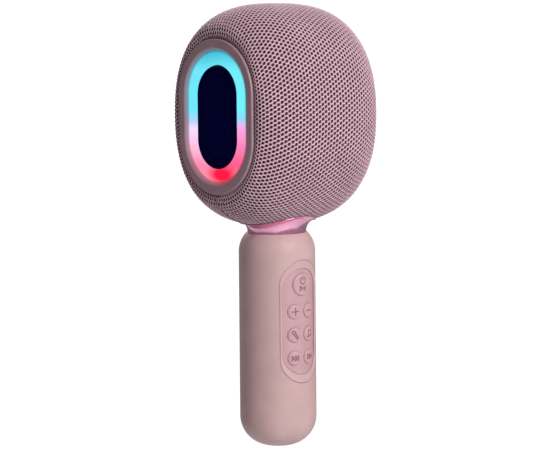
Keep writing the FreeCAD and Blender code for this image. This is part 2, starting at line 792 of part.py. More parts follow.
def neck_passage(radius, x=0.0, y=0.0):
    """Cylinder right through the zone where the neck meets the head."""
    return cylinder(number(radius), number(S.neck_zone_low), number(S.neck_zone_high), x, y)


def cross_bar(radius, x, z, start, end):
    """Cylinder along Y between two places."""
    return Part.makeCylinder(radius, end - start, Vector(x, start, z), Vector(0, 1, 0))


def stadium_face(half_width, straight, x):
    """Upright stadium in a plane of constant x, centred on the head."""
    height = number(S.head_height)
    top = height + straight
    bottom = height - straight
    corners = [Vector(x, half_width, bottom), Vector(x, half_width, top),
               Vector(x, -half_width, top), Vector(x, -half_width, bottom)]
    edges = [
        Part.LineSegment(corners[0], corners[1]).toShape(),
        Part.Arc(corners[1], Vector(x, 0, top + half_width), corners[2]).toShape(),
        Part.LineSegment(corners[2], corners[3]).toShape(),
        Part.Arc(corners[3], Vector(x, 0, bottom - half_width), corners[0]).toShape(),
    ]
    return Part.Face(Part.Wire(edges))


def side_opening(half_width):
    """A stadium passage right through the head along X."""
    reach = number(S.side_reach)
    return stadium_face(half_width, number(S.straight), -reach).extrude(Vector(2 * reach, 0, 0))


def neck_screw_places():
    angles = [math.radians(45 + 90 * step) for step in range(4)]
    circle = number(S.neck_screw_circle)
    return [(circle * math.cos(angle), circle * math.sin(angle)) for angle in angles]


def ear_places():
    height = number(S.head_height)
    rise = number(S.ear_rise)
    return [(side * number(S.ear_side), height + turn * rise) for side in (-1, 1) for turn in (-1, 1)]


def fabric_cover(forms):
    cover = forms["skin"].cut(forms["frame"])
    cover = cover.cut(side_opening(number(S.bezel_outer) + number(S.window_gap)))
    return shape_node("fabric_cover", cover.cut(neck_passage(S.cover_hole)))


def frame_windows(direction):
    """Slots that let the sound out of one half of the head frame."""
    reach, width, height = number(S.side_reach), number(S.slot_width), number(S.slot_height)
    start = 0 if direction > 0 else -reach
    slots = []
    for column in SLOT_COLUMNS:
        for row in SLOT_ROWS:
            x = column * number(S.slot_pitch) - width / 2
            z = number(S.head_height) + row * number(S.slot_rise) - height / 2
            slots.append(Part.makeBox(width, reach, height, Vector(x, start, z)))
    return slots


def head_frame(label, forms, direction):
    """Half of the head's frame with its screw bosses; direction is -1 for the front and 1 for the rear."""
    reach = number(S.side_reach)
    half = Part.makeBox(4 * reach, 2 * reach, 6 * reach,
                        Vector(-2 * reach, 0 if direction > 0 else -2 * reach, 0))
    shell = forms["frame"].cut(forms["inside"]).cut(side_opening(number(S.bezel_skirt + S.joint_gap)))
    shell = shell.cut(neck_passage(S.core_radius + S.joint_gap)).common(half)
    shell = shell.cut(frame_windows(direction))
    ear = number(S.ear_half)
    seat = number(S.frame_screw_seat)
    shank = number(S.long_screw_radius)
    for x, z in ear_places():
        start, end = (ear, reach) if direction > 0 else (-reach, -ear)
        shell = shell.fuse(cross_bar(number(S.boss_radius), x, z, start, end).common(forms["inside"]))
    for x, z in ear_places():
        shell = shell.cut(cross_bar(shank + number(S.thread_gap), x, z, -seat - 3 * number(S.tip_room), seat))
        if direction > 0:
            shell = shell.cut(cross_bar(number(S.long_screw_head + S.joint_gap), x, z, seat, reach))
    for x, y in neck_screw_places():
        shell = shell.cut(neck_passage(S.screw_radius + S.screw_clearance, x, y))
    return shape_node(label, shell)


def side_bezel(side):
    """Ring around the light: a face flange, a skirt in the frame's opening and a sloped inner edge."""
    body = new_body(f"side_bezel_{side}")
    flange = sketch_on(body, "YZ_Plane", S.bezel_ledge)
    draw_stadium(flange, S.bezel_outer, S.straight)
    draw_stadium(flange, S.bezel_inner, S.straight)
    pad(body, flange, S.bezel_face - S.bezel_ledge)
    skirt = sketch_on(body, "YZ_Plane", S.bezel_back)
    draw_stadium(skirt, S.bezel_skirt, S.straight)
    draw_stadium(skirt, S.bezel_inner, S.straight)
    pad(body, skirt, S.bezel_ledge - S.bezel_back)
    face = number(S.bezel_face)
    middle = (number(S.bezel_outer) + number(S.bezel_inner)) / 2
    slope_edges(body, lambda p: abs(p.x - face) < NEAR and reach_of(p) < middle, S.bezel_lead, S.bezel_slope)
    round_edges(body, lambda p: abs(p.x - face) < NEAR and reach_of(p) > middle, S.bezel_round)
    return face_to_side(body, side)


def reach_of(point):
    """Distance from a point to the straight middle line of the side outlines."""
    rise = max(abs(point.z) - number(S.straight), 0)
    return math.hypot(point.y, rise)


def face_to_side(body, side):
    """Raise a side part to the head's centre and turn it to face its own side."""
    body.Placement.Rotation = FreeCAD.Rotation(Vector(0, 0, 1), SIDES[side])
    bind(body, Placement__Base__z=S.head_height)
    return body


def side_ring(name, side, outer, inner, back, front):
    body = new_body(f"{name}_{side}")
    sketch = sketch_on(body, "YZ_Plane", back)
    draw_stadium(sketch, outer, S.straight)
    if inner is not None:
        draw_stadium(sketch, inner, S.straight)
    pad(body, sketch, front - back)
    return body


def radiator_frame(side):
    body = side_ring("radiator_frame", side, S.radiator_flange, S.radiator_inner, S.box_width,
                     S.box_width + S.box_wall)
    tube = sketch_on(body, "YZ_Plane", S.box_width + S.box_wall)
    draw_stadium(tube, S.radiator_outer, S.straight)
    draw_stadium(tube, S.radiator_inner, S.straight)
    pad(body, tube, S.radiator_face - S.box_width - S.box_wall)
    return face_to_side(body, side)


def led_places(radius):
    """Evenly spaced places along a stadium, each with the direction it faces across the ring."""
    straight = number(S.straight)
    total = 4 * straight + 2 * math.pi * radius
    for index in range(LED_COUNT):
        run = total * (index + 0.5) / LED_COUNT
        if run < 2 * straight:
            yield radius, run - straight, 0.0
        elif run < 2 * straight + math.pi * radius:
            angle = (run - 2 * straight) / radius
            yield radius * math.cos(angle), straight + radius * math.sin(angle), angle
        elif run < 4 * straight + math.pi * radius:
            yield -radius, straight - (run - 2 * straight - math.pi * radius), math.pi
        else:
            angle = math.pi + (run - 4 * straight - math.pi * radius) / radius
            yield radius * math.cos(angle), -straight + radius * math.sin(angle), angle


def leds(side):
    made = []
    middle = (number(S.light_outer) + number(S.light_inner)) / 2
    half = number(S.led_side) / 2
    sign = 1 if side == "right" else -1
    height = number(S.head_height)
    base = number(S.led_board_back) + number(S.board_thick)
    for across, up, angle in led_places(middle):
        light = doc.addObject("Part::Box", "Light")
        bind(light, Length=S.led_height, Width=S.led_side, Height=S.led_side)
        turn = FreeCAD.Rotation(Vector(1, 0, 0), math.degrees(angle))
        corner = turn.multVec(Vector(0, -half, -half))
        x = base if sign > 0 else -base - number(S.led_height)
        light.Placement = FreeCAD.Placement(Vector(x, across, height + up) + corner, turn)
        made.append(light)
    return group(f"leds_{side}", made)


def side_parts(side):
    side_bezel(side)
    light_back = S.light_face - S.light_thick
    face_to_side(side_ring("light_ring", side, S.light_outer, S.light_inner, light_back, S.light_face), side)
    board = side_ring("led_board", side, S.light_outer, S.light_inner, S.led_board_back,
                      S.led_board_back + S.board_thick)
    face_to_side(board, side)
    leds(side)
    radiator_frame(side)
    surround = side_ring("radiator_surround", side, S.radiator_inner, S.plate_width + S.plate_gap,
                         S.radiator_face - S.surround_thick, S.radiator_face)
    face_to_side(surround, side)
    plate = side_ring("radiator_plate", side, S.plate_width, None, S.radiator_face - S.plate_thick,
                      S.radiator_face)
    face_to_side(plate, side)


# ---------------------------------------------------------------- neck

def neck_core(forms):
    """Tube from the handle's collar into the head, with a saddle flange that follows the frame's inside."""
    low, top, room = number(S.collar_bottom), number(S.neck_zone_high), number(S.tip_room)
    tube = cylinder(number(S.core_radius), low, top)
    flange = cylinder(number(S.flange_radius), number(S.handle_height), top)
    solid = tube.fuse(flange.common(forms["inside"])).cut(forms["flange"])
    solid = solid.cut(cylinder(number(S.core_bore), low - room, top + room))
    seat = number(S.neck_screw_seat)
    for x, y in neck_screw_places():
        solid = solid.cut(neck_passage(S.screw_radius + S.screw_clearance, x, y))
        solid = solid.cut(cylinder(number(S.screw_head + S.head_gap), seat, top, x, y))
    depth = low + number(S.chassis_screw_length)
    for x, _, _ in chassis_screw_seats():
        hole = cylinder(number(S.screw_radius + S.thread_gap), low - room, depth, number(x), 0)
        solid = solid.cut(hole)
    return shape_node("neck_core", solid.removeSplitter())


def neck_ring(forms):
    """Flared ring under the head; its top follows the head, with the fabric's hem gripped under its rim."""
    foot = Vector(number(S.ring_foot_radius), 0, number(S.handle_height))
    rim = Vector(number(S.ring_rim_radius), 0, number(S.ring_rim_height))
    inner = number(S.core_radius + S.joint_gap)
    top = number(S.neck_zone_high)
    chord = rim - foot
    sag = number(S.ring_flare) - math.sqrt(number(S.ring_flare) ** 2 - (chord.Length / 2) ** 2)
    inward = Vector(-chord.z, 0, chord.x).normalize()
    middle = (foot + rim) * 0.5 + inward * sag
    outline = Part.Wire([
        Part.LineSegment(Vector(inner, 0, foot.z), foot).toShape(),
        Part.Arc(foot, middle, rim).toShape(),
        Part.LineSegment(rim, Vector(rim.x, 0, top)).toShape(),
        Part.LineSegment(Vector(rim.x, 0, top), Vector(inner, 0, top)).toShape(),
        Part.LineSegment(Vector(inner, 0, top), Vector(inner, 0, foot.z)).toShape(),
    ])
    flare = Part.Face(outline).revolve(Vector(0, 0, 0), Vector(0, 0, 1), FULL_TURN)
    hem = neck_passage(S.cover_hole - S.joint_gap)
    ring = flare.common(hem).cut(forms["frame"]).fuse(flare.cut(hem).cut(forms["skin"]))
    for x, y in neck_screw_places():
        start = foot.z + number(S.screw_head_height)
        ring = ring.cut(cylinder(number(S.screw_radius + S.thread_gap), start, top, x, y))
    return shape_node("neck_ring", ring.removeSplitter())


# ---------------------------------------------------------------- acoustic box, boards and loudspeaker

def acoustic_box():
    """Tub open to the rear, with openings for the loudspeaker and both radiators, ears and posts."""
    width, wall, rise = number(S.box_width), number(S.box_wall), number(S.box_half_height)
    front, back, height = number(S.box_front), number(S.box_back), number(S.head_height)
    tub = Part.makeBox(2 * width, front + back, 2 * rise, Vector(-width, -front, height - rise))
    tub = tub.cut(Part.makeBox(2 * (width - wall), front + back, 2 * (rise - wall),
                               Vector(wall - width, wall - front, height - rise + wall)))
    boss = number(S.screw_head + S.chassis_wall)
    for x, z in lid_screw_places():
        tub = tub.fuse(cross_bar(boss, x, z, number(S.lid_boss_front), back))
    tub = tub.cut(side_opening(number(S.radiator_inner)))
    past = number(S.cut_past)
    tub = tub.cut(cross_bar(number(S.driver_hole), 0, height, -front - past, -front + wall + past))
    ear, reach = number(S.ear_half), number(S.ear_rise)
    for x, z in ear_places():
        low = min(z, height)
        strip = Part.makeBox(2 * number(S.boss_radius), 2 * ear, reach,
                             Vector(x - number(S.boss_radius), -ear, low if z < height else height))
        strip = strip.cut(Part.makeBox(4 * width, 4 * front, 2 * rise,
                                       Vector(-2 * width, -2 * front, height - rise)))
        tub = tub.fuse(strip.fuse(cross_bar(number(S.boss_radius), x, z, -ear, ear)))
    board, floor = number(S.main_board_height), height - rise
    for x, y in post_places():
        tub = tub.fuse(cylinder(number(S.screw_head + S.boss_wall), board, floor, x, y))
    for x, z in ear_places():
        tub = tub.cut(cross_bar(number(S.long_screw_radius + S.screw_clearance), x, z, -2 * ear, 2 * ear))
    hole = number(S.screw_radius + S.thread_gap)
    for x, z in lid_screw_places():
        tub = tub.cut(cross_bar(hole, x, z, number(S.lid_hole_front), 2 * back))
    for x, y in post_places():
        tub = tub.cut(cylinder(hole, board, floor, x, y))
    return shape_node("acoustic_box", tub.removeSplitter())


def lid_screw_places():
    height = number(S.head_height)
    side, rise = number(S.box_screw_side), number(S.box_screw_rise)
    return [(x, height + z) for x in (-side, side) for z in (-rise, rise)]


def post_places():
    side, depth = number(S.post_side), number(S.post_depth)
    return [(x, y) for x in (-side, side) for y in (-depth, depth)]


def acoustic_box_lid():
    body = new_body("acoustic_box_lid")
    sketch = sketch_on(body, "XZ_Plane", -S.box_back)
    draw_rectangle(sketch, -S.box_width, S.box_width, S.head_height - S.box_half_height,
                   S.head_height + S.box_half_height)
    for side in (-1, 1):
        for turn in (-1, 1):
            draw_circle(sketch, side * S.box_screw_side, S.head_height + turn * S.box_screw_rise,
                        S.screw_radius + S.screw_clearance)
    pad(body, sketch, S.box_wall, reverse=True)
    return body


def main_board():
    body = new_body("main_board")
    sketch = sketch_on(body, "XY_Plane", S.main_board_height - S.board_thick)
    draw_rectangle(sketch, -S.main_board_width, S.main_board_width, -S.main_board_depth, S.main_board_depth)
    for side in (-1, 1):
        for turn in (-1, 1):
            draw_circle(sketch, side * S.post_side, turn * S.post_depth, S.screw_radius + S.screw_clearance)
    pad(body, sketch, S.board_thick)
    return body


def driver_part(label, corners):
    """A loudspeaker piece turned about the driver's axis, which runs along Y through the head's centre."""
    body = turned(label, corners, role="XY_Plane")
    bind(body, Placement__Base__z=S.head_height)
    return body


def loudspeaker():
    front = -S.box_front
    floor = front + S.basket_depth
    plate_top = floor + S.board_thick
    magnet_top = plate_top + S.box_wall
    yoke_top = magnet_top + 3 * S.box_wall
    coil_inner = S.coil_radius - S.coil_wall
    bore = S.coil_radius + S.coil_gap
    cone_root = front + S.coil_depth
    cone_rim = front - S.surround_rise
    seat = S.driver_hole - 1
    neck = bore + S.boss_wall
    driver_part("driver_basket", [
        (seat, front - S.basket_rim), (S.driver_flange, front - S.basket_rim), (S.driver_flange, front),
        (S.driver_hole - S.head_gap, front), (S.magnet_radius, floor), (S.magnet_radius, plate_top),
        (neck, plate_top), (neck, floor), (S.magnet_radius - S.chassis_wall, floor),
        (S.driver_hole - S.chassis_wall, front + S.basket_wall), (seat, front),
    ])
    driver_part("driver_top_plate", ring_corners(bore, S.magnet_radius - S.pole_step, plate_top, magnet_top))
    driver_part("driver_magnet", ring_corners(bore + S.chassis_wall, S.magnet_radius, magnet_top, yoke_top))
    pole = coil_inner - S.coil_gap
    driver_part("driver_yoke", [
        (0, plate_top), (pole, plate_top), (pole, yoke_top), (S.magnet_radius - S.pole_step, yoke_top),
        (S.magnet_radius - S.pole_step, yoke_top + S.box_wall), (0, yoke_top + S.box_wall),
    ])
    spider = floor - S.spider_place
    driver_part("driver_spider", ring_corners(bore, S.magnet_radius - S.boss_wall, spider,
                                              spider + S.spider_thick))
    driver_part("driver_surround", ring_corners(S.cone_radius + S.plate_gap, seat - S.screw_clearance,
                                                cone_rim, cone_rim + S.surround_sheet))
    driver_part("voice_coil", ring_corners(coil_inner, S.coil_radius, cone_root, magnet_top + S.coil_reach))
    driver_part("speaker_cone", [
        (0, cone_root - 3 * S.cap_drop), (coil_inner, cone_root - S.cap_drop), (S.cone_radius, cone_rim),
        (S.cone_radius, cone_rim + S.cone_thick), (S.coil_radius, cone_root),
        (0, cone_root - 2 * S.cap_drop),
    ])


def mic_parts():
    top = S.head_height + S.box_half_height
    foot = top + S.cup_foot
    floor_back = S.cup_floor - S.cup_wall
    lip = S.capsule_top + S.cup_lip
    stem = S.boot_radius - S.cup_lip
    turned("mic_mount", [
        (S.capsule_radius, top), (S.cup_radius, top), (S.cup_radius, foot), (stem, foot),
        (stem, floor_back), (S.cup_radius, floor_back), (S.cup_radius, lip), (S.boot_radius, lip),
        (S.boot_radius, S.cup_floor), (S.wire_hole, S.cup_floor), (S.wire_hole, floor_back),
        (S.capsule_radius, floor_back),
    ])
    turned("mic_boot", [
        (S.wire_hole, S.cup_floor), (S.boot_radius, S.cup_floor), (S.boot_radius, S.capsule_top),
        (S.capsule_radius, S.capsule_top), (S.capsule_radius, S.capsule_bottom),
        (S.wire_hole, S.capsule_bottom),
    ])
    height = S.capsule_top - S.capsule_bottom
    capsule = bar(Vector(0, 0, 1), (0, 0, S.capsule_bottom), S.capsule_radius, height)
    node(capsule, "mic_capsule")
    foam = bar(Vector(0, 0, 1), (0, 0, S.capsule_top), S.boot_radius - S.joint_gap, S.foam_thick)
    node(foam, "mic_foam")


def wire_loom():
    """Wiring from the keypad board up through the neck core to the main board: one S-bend in a plane."""
    radius = number(S.loom_radius)
    low_y = -(number(S.board_front) + number(S.chassis_front) - number(S.board_thick)) / 2
    high_y = -number(S.loom_front)
    corners = [Vector(0, low_y, number(S.loom_start)), Vector(0, low_y, number(S.loom_bend)),
               Vector(0, high_y, number(S.loom_rise)),
               Vector(0, high_y, number(S.main_board_height) - number(S.board_thick))]
    edges = []
    start = corners[0]
    for before, corner, after in zip(corners, corners[1:], corners[2:]):
        inward, onward = (before - corner), (after - corner)
        back = min(inward.Length, onward.Length) * BEND_SHARE
        arc_start = corner + inward.normalize() * back
        arc_end = corner + onward.normalize() * back
        turn = math.pi - inward.getAngle(onward)
        bend = back / math.tan(turn / 2)
        bisector = (inward + onward).normalize()
        middle = corner + bisector * (math.hypot(bend, back) - bend)
        edges.append(Part.LineSegment(start, arc_start).toShape())
        edges.append(Part.Arc(arc_start, middle, arc_end).toShape())
        start = arc_end
    edges.append(Part.LineSegment(start, corners[-1]).toShape())
    path = Part.Wire(edges)
    section = Part.Wire(Part.makeCircle(radius, corners[0], Vector(0, 0, 1)))
    return shape_node("wire_loom", path.makePipeShell([section], True, False))


# ---------------------------------------------------------------- assembly

def keypad():
    keypad_bezel()
    keypad_panel()
    for name in BUTTON_PLACES:
        button(name)
    keypad_board()
    switch_housings()
    seats = [(x, -S.board_front, z) for x, z in board_screw_places()]
    screws("keypad_board_screws", seats, Vector(0, 1, 0), S.board_front - S.chassis_front + S.tip_room)


def power_supply():
    chassis()
    screws("chassis_screws", chassis_screw_seats(), Vector(0, 0, 1), S.chassis_screw_length)
    battery_cell()
    charge_board()
    screws("charge_board_screws", charge_screw_seats(), Vector(0, 0, 1), S.charge_screw_length)
    socket_shell()
    socket_tongue()


def head():
    frame, inside = S.fabric_thick, S.fabric_thick + S.frame_thick
    insets = {"skin": 0.0, "frame": number(frame), "inside": number(inside),
              "flange": number(inside + S.neck_flange_thick)}
    forms = {name: head_form(inset) for name, inset in insets.items()}
    neck_ring(forms)
    neck_core(forms)
    seats = [(x, y, S.neck_screw_seat) for x, y in neck_screw_places()]
    screws("neck_screws", seats, Vector(0, 0, -1), S.neck_screw_length)
    fabric_cover(forms)
    head_frame("head_frame_front", forms, -1)
    head_frame("head_frame_rear", forms, 1)
    seats = [(x, S.frame_screw_seat, z) for x, z in ear_places()]
    screws("frame_screws", seats, Vector(0, -1, 0), S.frame_screw_seat * 2 + S.tip_room,
           S.long_screw_radius, S.long_screw_head)


def acoustics():
    acoustic_box()
    acoustic_box_lid()
    seats = [(x, S.box_back + S.box_wall, z) for x, z in lid_screw_places()]
    screws("lid_screws", seats, Vector(0, -1, 0), S.lid_screw_length)
    main_board()
    seats = [(x, y, S.main_board_height - S.board_thick) for x, y in post_places()]
    screws("main_board_screws", seats, Vector(0, 0, 1), S.main_screw_length)
    loudspeaker()
    mic_parts()
    wire_loom()


def check_document():
    """Stop if anything failed to compute or a node has no sound shape."""
    failed = [thing.Name for thing in doc.Objects if "Invalid" in thing.State or "Error" in thing.State]
    unsound = [thing.Label for thing in nodes if thing.Shape.isNull() or not thing.Shape.isValid()]
    if failed or unsound:
        raise RuntimeError(f"failed: {failed}, unsound: {unsound}")


def write_parts():
    os.makedirs("parts", exist_ok=True)
    for thing in nodes:
        thing.Shape.exportStep(f"parts/{thing.Label}.step")


handle_shell()
handle_collar()
keypad()
power_supply()
head()
for side_name in SIDES:
    side_parts(side_name)
acoustics()
doc.recompute()
check_document()
write_parts()
print(len(nodes), "nodes written")
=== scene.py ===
"""Looks of the karaoke microphone round its CAD frame: net, bezels, lights, neck, keypad and finishes."""

import math

import bmesh
import bpy
import numpy as np
from mathutils import Matrix, Vector


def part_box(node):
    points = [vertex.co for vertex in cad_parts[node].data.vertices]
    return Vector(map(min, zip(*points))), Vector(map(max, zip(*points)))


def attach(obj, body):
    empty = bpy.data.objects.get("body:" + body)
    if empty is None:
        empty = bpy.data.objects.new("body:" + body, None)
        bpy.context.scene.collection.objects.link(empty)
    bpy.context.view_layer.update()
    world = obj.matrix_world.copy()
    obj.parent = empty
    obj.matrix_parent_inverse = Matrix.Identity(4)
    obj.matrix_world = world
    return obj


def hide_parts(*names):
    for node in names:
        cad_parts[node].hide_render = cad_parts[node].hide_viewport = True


MM = 0.001
SIDES = {"left": -1, "right": 1}
CORNER_STEPS = 5

# Head fabric: exponents of the body's round shape, and the lip that turns in behind each bezel
SECTION_POWER = 2.2
ACROSS_POWER = 2.9
REACH_PAST_FACE = 10.6 * MM
LIP_BEFORE_FACE = 1.8 * MM
TUCK_BEFORE_FACE = 1.2 * MM
LIP_LENGTH = 8.0 * MM
LIP_RIM_GAP = 0.15 * MM
LIP_START_PULL = 2.6 * MM
LIP_END_PULL = (1.5 * MM, 0.8 * MM)
RING_SAMPLES = 20001
ACROSS_SAMPLES = 2001
SLOPE_STEP = 0.1 * MM

# Net: cells round the head and to each side, and one cell in parts of the pitch
ROWS = 128
HALF_COLUMNS = 23
CELL_NEAR = 0.29
CELL_FAR = 0.71
HOLE_ACROSS = 0.335
HOLE_ALONG = 0.285
HOLE_SLANT = 0.35
OVAL_SHARE = 0.55
CORNER_SHARE = 0.45 * 0.60
CELL_JITTER = 0.012

# Threads: outline points on the strands that cross above and below, and lifts in millimetres; the strands
# beneath also get painted shade
UPPER_STRAND = (3, 8)
LOWER_STRAND = (1, 6)
STRAND_LIFT = 0.14
BORDER_JITTER = 0.03
WALL_JITTER = 0.02
KEY_SCALE = 200

# Lining and seams under the net
NECK_CLEARING = 18.6 * MM
LINING_DEPTH = 0.9 * MM
LINING_GRID = (90, 180)
SEAM_FROM_AXIS = 20.6 * MM
SEAM_SHORT_OF_LIP = 0.6 * MM
SEAM_HEIGHT = 0.25 * MM
SEAM_HALF_WIDTH = 0.55 * MM
STITCH_BULGE = 0.16 * MM
STITCH_PITCH = 0.35 * MM

# Side stadiums: they share their straight half length
STRAIGHT = 11.0 * MM
ARC_STEPS = 56
STRAIGHT_STEPS = 10

# Share of the ring's light painted on the bezel's slope as a glow, share of it on the ring's own rim, and the
# red spot at the bottom
PAINTED_SLOPE_GLOW = 0.3
RIM_GLOW = 0.65
SPOT_REACH = 13.0 * MM
SPOT_SQUASH = 2.1
SPOT_FORWARD = 3.8 * MM
SPOT_RISE = 4.0 * MM
SIDE_BLEND = 8 * MM

# Radiators: the roll's radii and crown, and the ledge that closes the gap behind the plate
ROLL_OUTER = 13.95 * MM
ROLL_INNER = 9.65 * MM
ROLL_SHOULDER = 0.35 * MM
ROLL_DROP = 0.9 * MM
ROLL_STEPS = 12
ROLL_CROWN = 0.35
LEDGE_WIDTH = 2.0 * MM
LEDGE_TOP = 3.3 * MM
LEDGE_BOTTOM = 3.6 * MM
PLATE_EDGE = 9.55 * MM

# Neck ring
NECK_FOOT = 15.2 * MM
NECK_RIM = 20.2 * MM
NECK_BORE = 13.0 * MM
NECK_TURN_STEPS = 192
FLARE_STEPS = 24
RIM_STEPS = 6
RIM_ROUND = 0.16 * MM
RIM_BELOW_SKIN = 0.55 * MM
TOP_BELOW_SKIN = 0.35 * MM

# Keypad: what is called RADIUS, SEAT, LEDGE or BOTTOM is a distance from the handle's axis
PANEL_RADIUS = 18.9 * MM
BAND_WIDTH = (1.5 * MM, 4.55 * MM)
BAND_SEAT = 18.7 * MM
BAND_LEDGE = 18.65 * MM
BAND_BOTTOM = 18.3 * MM
BAND_SINK = 0.04 * MM
BAND_SLOPE = 0.76 * MM
BAND_ARC_POINTS = 49
BAND_SIDE_POINTS = 22
GROOVE = 0.12 * MM
CAP_SINK = 0.15 * MM
CAP_DOME = 0.12 * MM
CAP_EDGE = 1.15 * MM
CAP_EDGE_DROP = 0.68 * MM
CAP_EDGE_STEPS = 7
CAP_RING_PITCH = 0.1 * MM
CAP_CENTRE = 0.02 * MM
CAP_BOTTOM = 18.2 * MM
CAP_POINTS = 144
GAP_POINTS = 96
FLANGE = 0.7 * MM
STROKE = 0.27 * MM
STROKE_SOFT = 0.14 * MM
ENGRAVED = 0.22 * MM
ARC_STROKES = 14
BUTTONS = ("power", "plus", "minus", "echo", "mode", "previous", "next")

# Camera
CAMERA_TURN = math.radians(42)
CAMERA_RISE = math.radians(5.6)
CAMERA_ROLL = math.radians(-0.5)
CAMERA_DISTANCE = 1.085
CAMERA_LENS = 137.5
AIM_ASIDE = -0.4 * MM
AIM_BELOW_HEAD = 57.3 * MM

# Stage
FLOOR_HALF = 0.85
FLOOR_LEVEL = -0.30
LIGHT_AIM = 0.7
SKY_COLOUR = (0.95, 0.96, 1.0)
SKY_STRENGTH = 0.17
BACKDROP_STRENGTH = 1.1


# ---------------------------------------------------------------- meshes

def add_piece(name, points, faces, body, slot, replaced=(), sharp=35.0, weighted=False):
    """A mesh piece that rides on a body; edges sharper than that many degrees stay crisp."""
    mesh = bpy.data.meshes.new(name)
    mesh.from_pydata(np.asarray(points, float).tolist(), [], [list(map(int, f)) for f in faces])
    mesh.update()
    work = bmesh.new()
    work.from_mesh(mesh)
    bmesh.ops.recalc_face_normals(work, faces=work.faces)
    for edge in work.edges:
        if len(edge.link_faces) == 2 and edge.calc_face_angle(0.0) > math.radians(sharp):
            edge.smooth = False
    for face in work.faces:
        face.smooth = True
    work.to_mesh(mesh)
    work.free()
    piece = bpy.data.objects.new(name, mesh)
    bpy.context.scene.collection.objects.link(piece)
    if weighted:
        piece.modifiers.new("normals", "WEIGHTED_NORMAL").keep_sharp = True
    mesh.materials.append(finishes[slot])
    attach(piece, body)
    if replaced:
        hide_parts(*replaced)
    return piece


def add_values(piece, name, values):
    """One number per point of the piece, for its material."""
    layer = piece.data.attributes.new(name, "FLOAT", "POINT")
    layer.data.foreach_set("value", np.asarray(values, np.float32))


def grid_faces(rows, columns, closed_rows=False, closed_columns=True):
    """Faces of a grid of rows times columns points, closed along either way."""
    row_count = rows if closed_rows else rows - 1
    column_count = columns if closed_columns else columns - 1
    r, c = np.meshgrid(np.arange(row_count), np.arange(column_count), indexing="ij")
    r2, c2 = (r + 1) % rows, (c + 1) % columns
    corners = [r * columns + c, r * columns + c2, r2 * columns + c2, r2 * columns + c]
    return np.stack(corners, -1).reshape(-1, 4)


def round_corners(outline, radii, closed=True):
    """The outline with its corners turned into arcs of those radii."""
    points = [np.array(p, float) for p in outline]
    count = len(points)
    made = []
    for i, (corner, radius) in enumerate(zip(points, radii)):
        loose_end = not closed and i in (0, count - 1)
        if radius == 0 or loose_end:
            made.append(corner)
            continue
        back = points[i - 1] - corner
        ahead = points[(i + 1) % count] - corner
        back, ahead = back / np.linalg.norm(back), ahead / np.linalg.norm(ahead)
        half = math.acos(np.clip(back @ ahead, -1, 1)) / 2
        reach = radius / math.tan(half)
        centre = corner + (back + ahead) / np.linalg.norm(back + ahead) * radius / math.sin(half)
        start, end = corner + back * reach - centre, corner + ahead * reach - centre
        turn = math.pi - 2 * half
        for k in range(CORNER_STEPS + 1):
            share = k / CORNER_STEPS
            arc = (start * math.sin((1 - share) * turn) + end * math.sin(share * turn)) / math.sin(turn)
            made.append(centre + arc)
    return np.array(made)


# ---------------------------------------------------------------- head skin

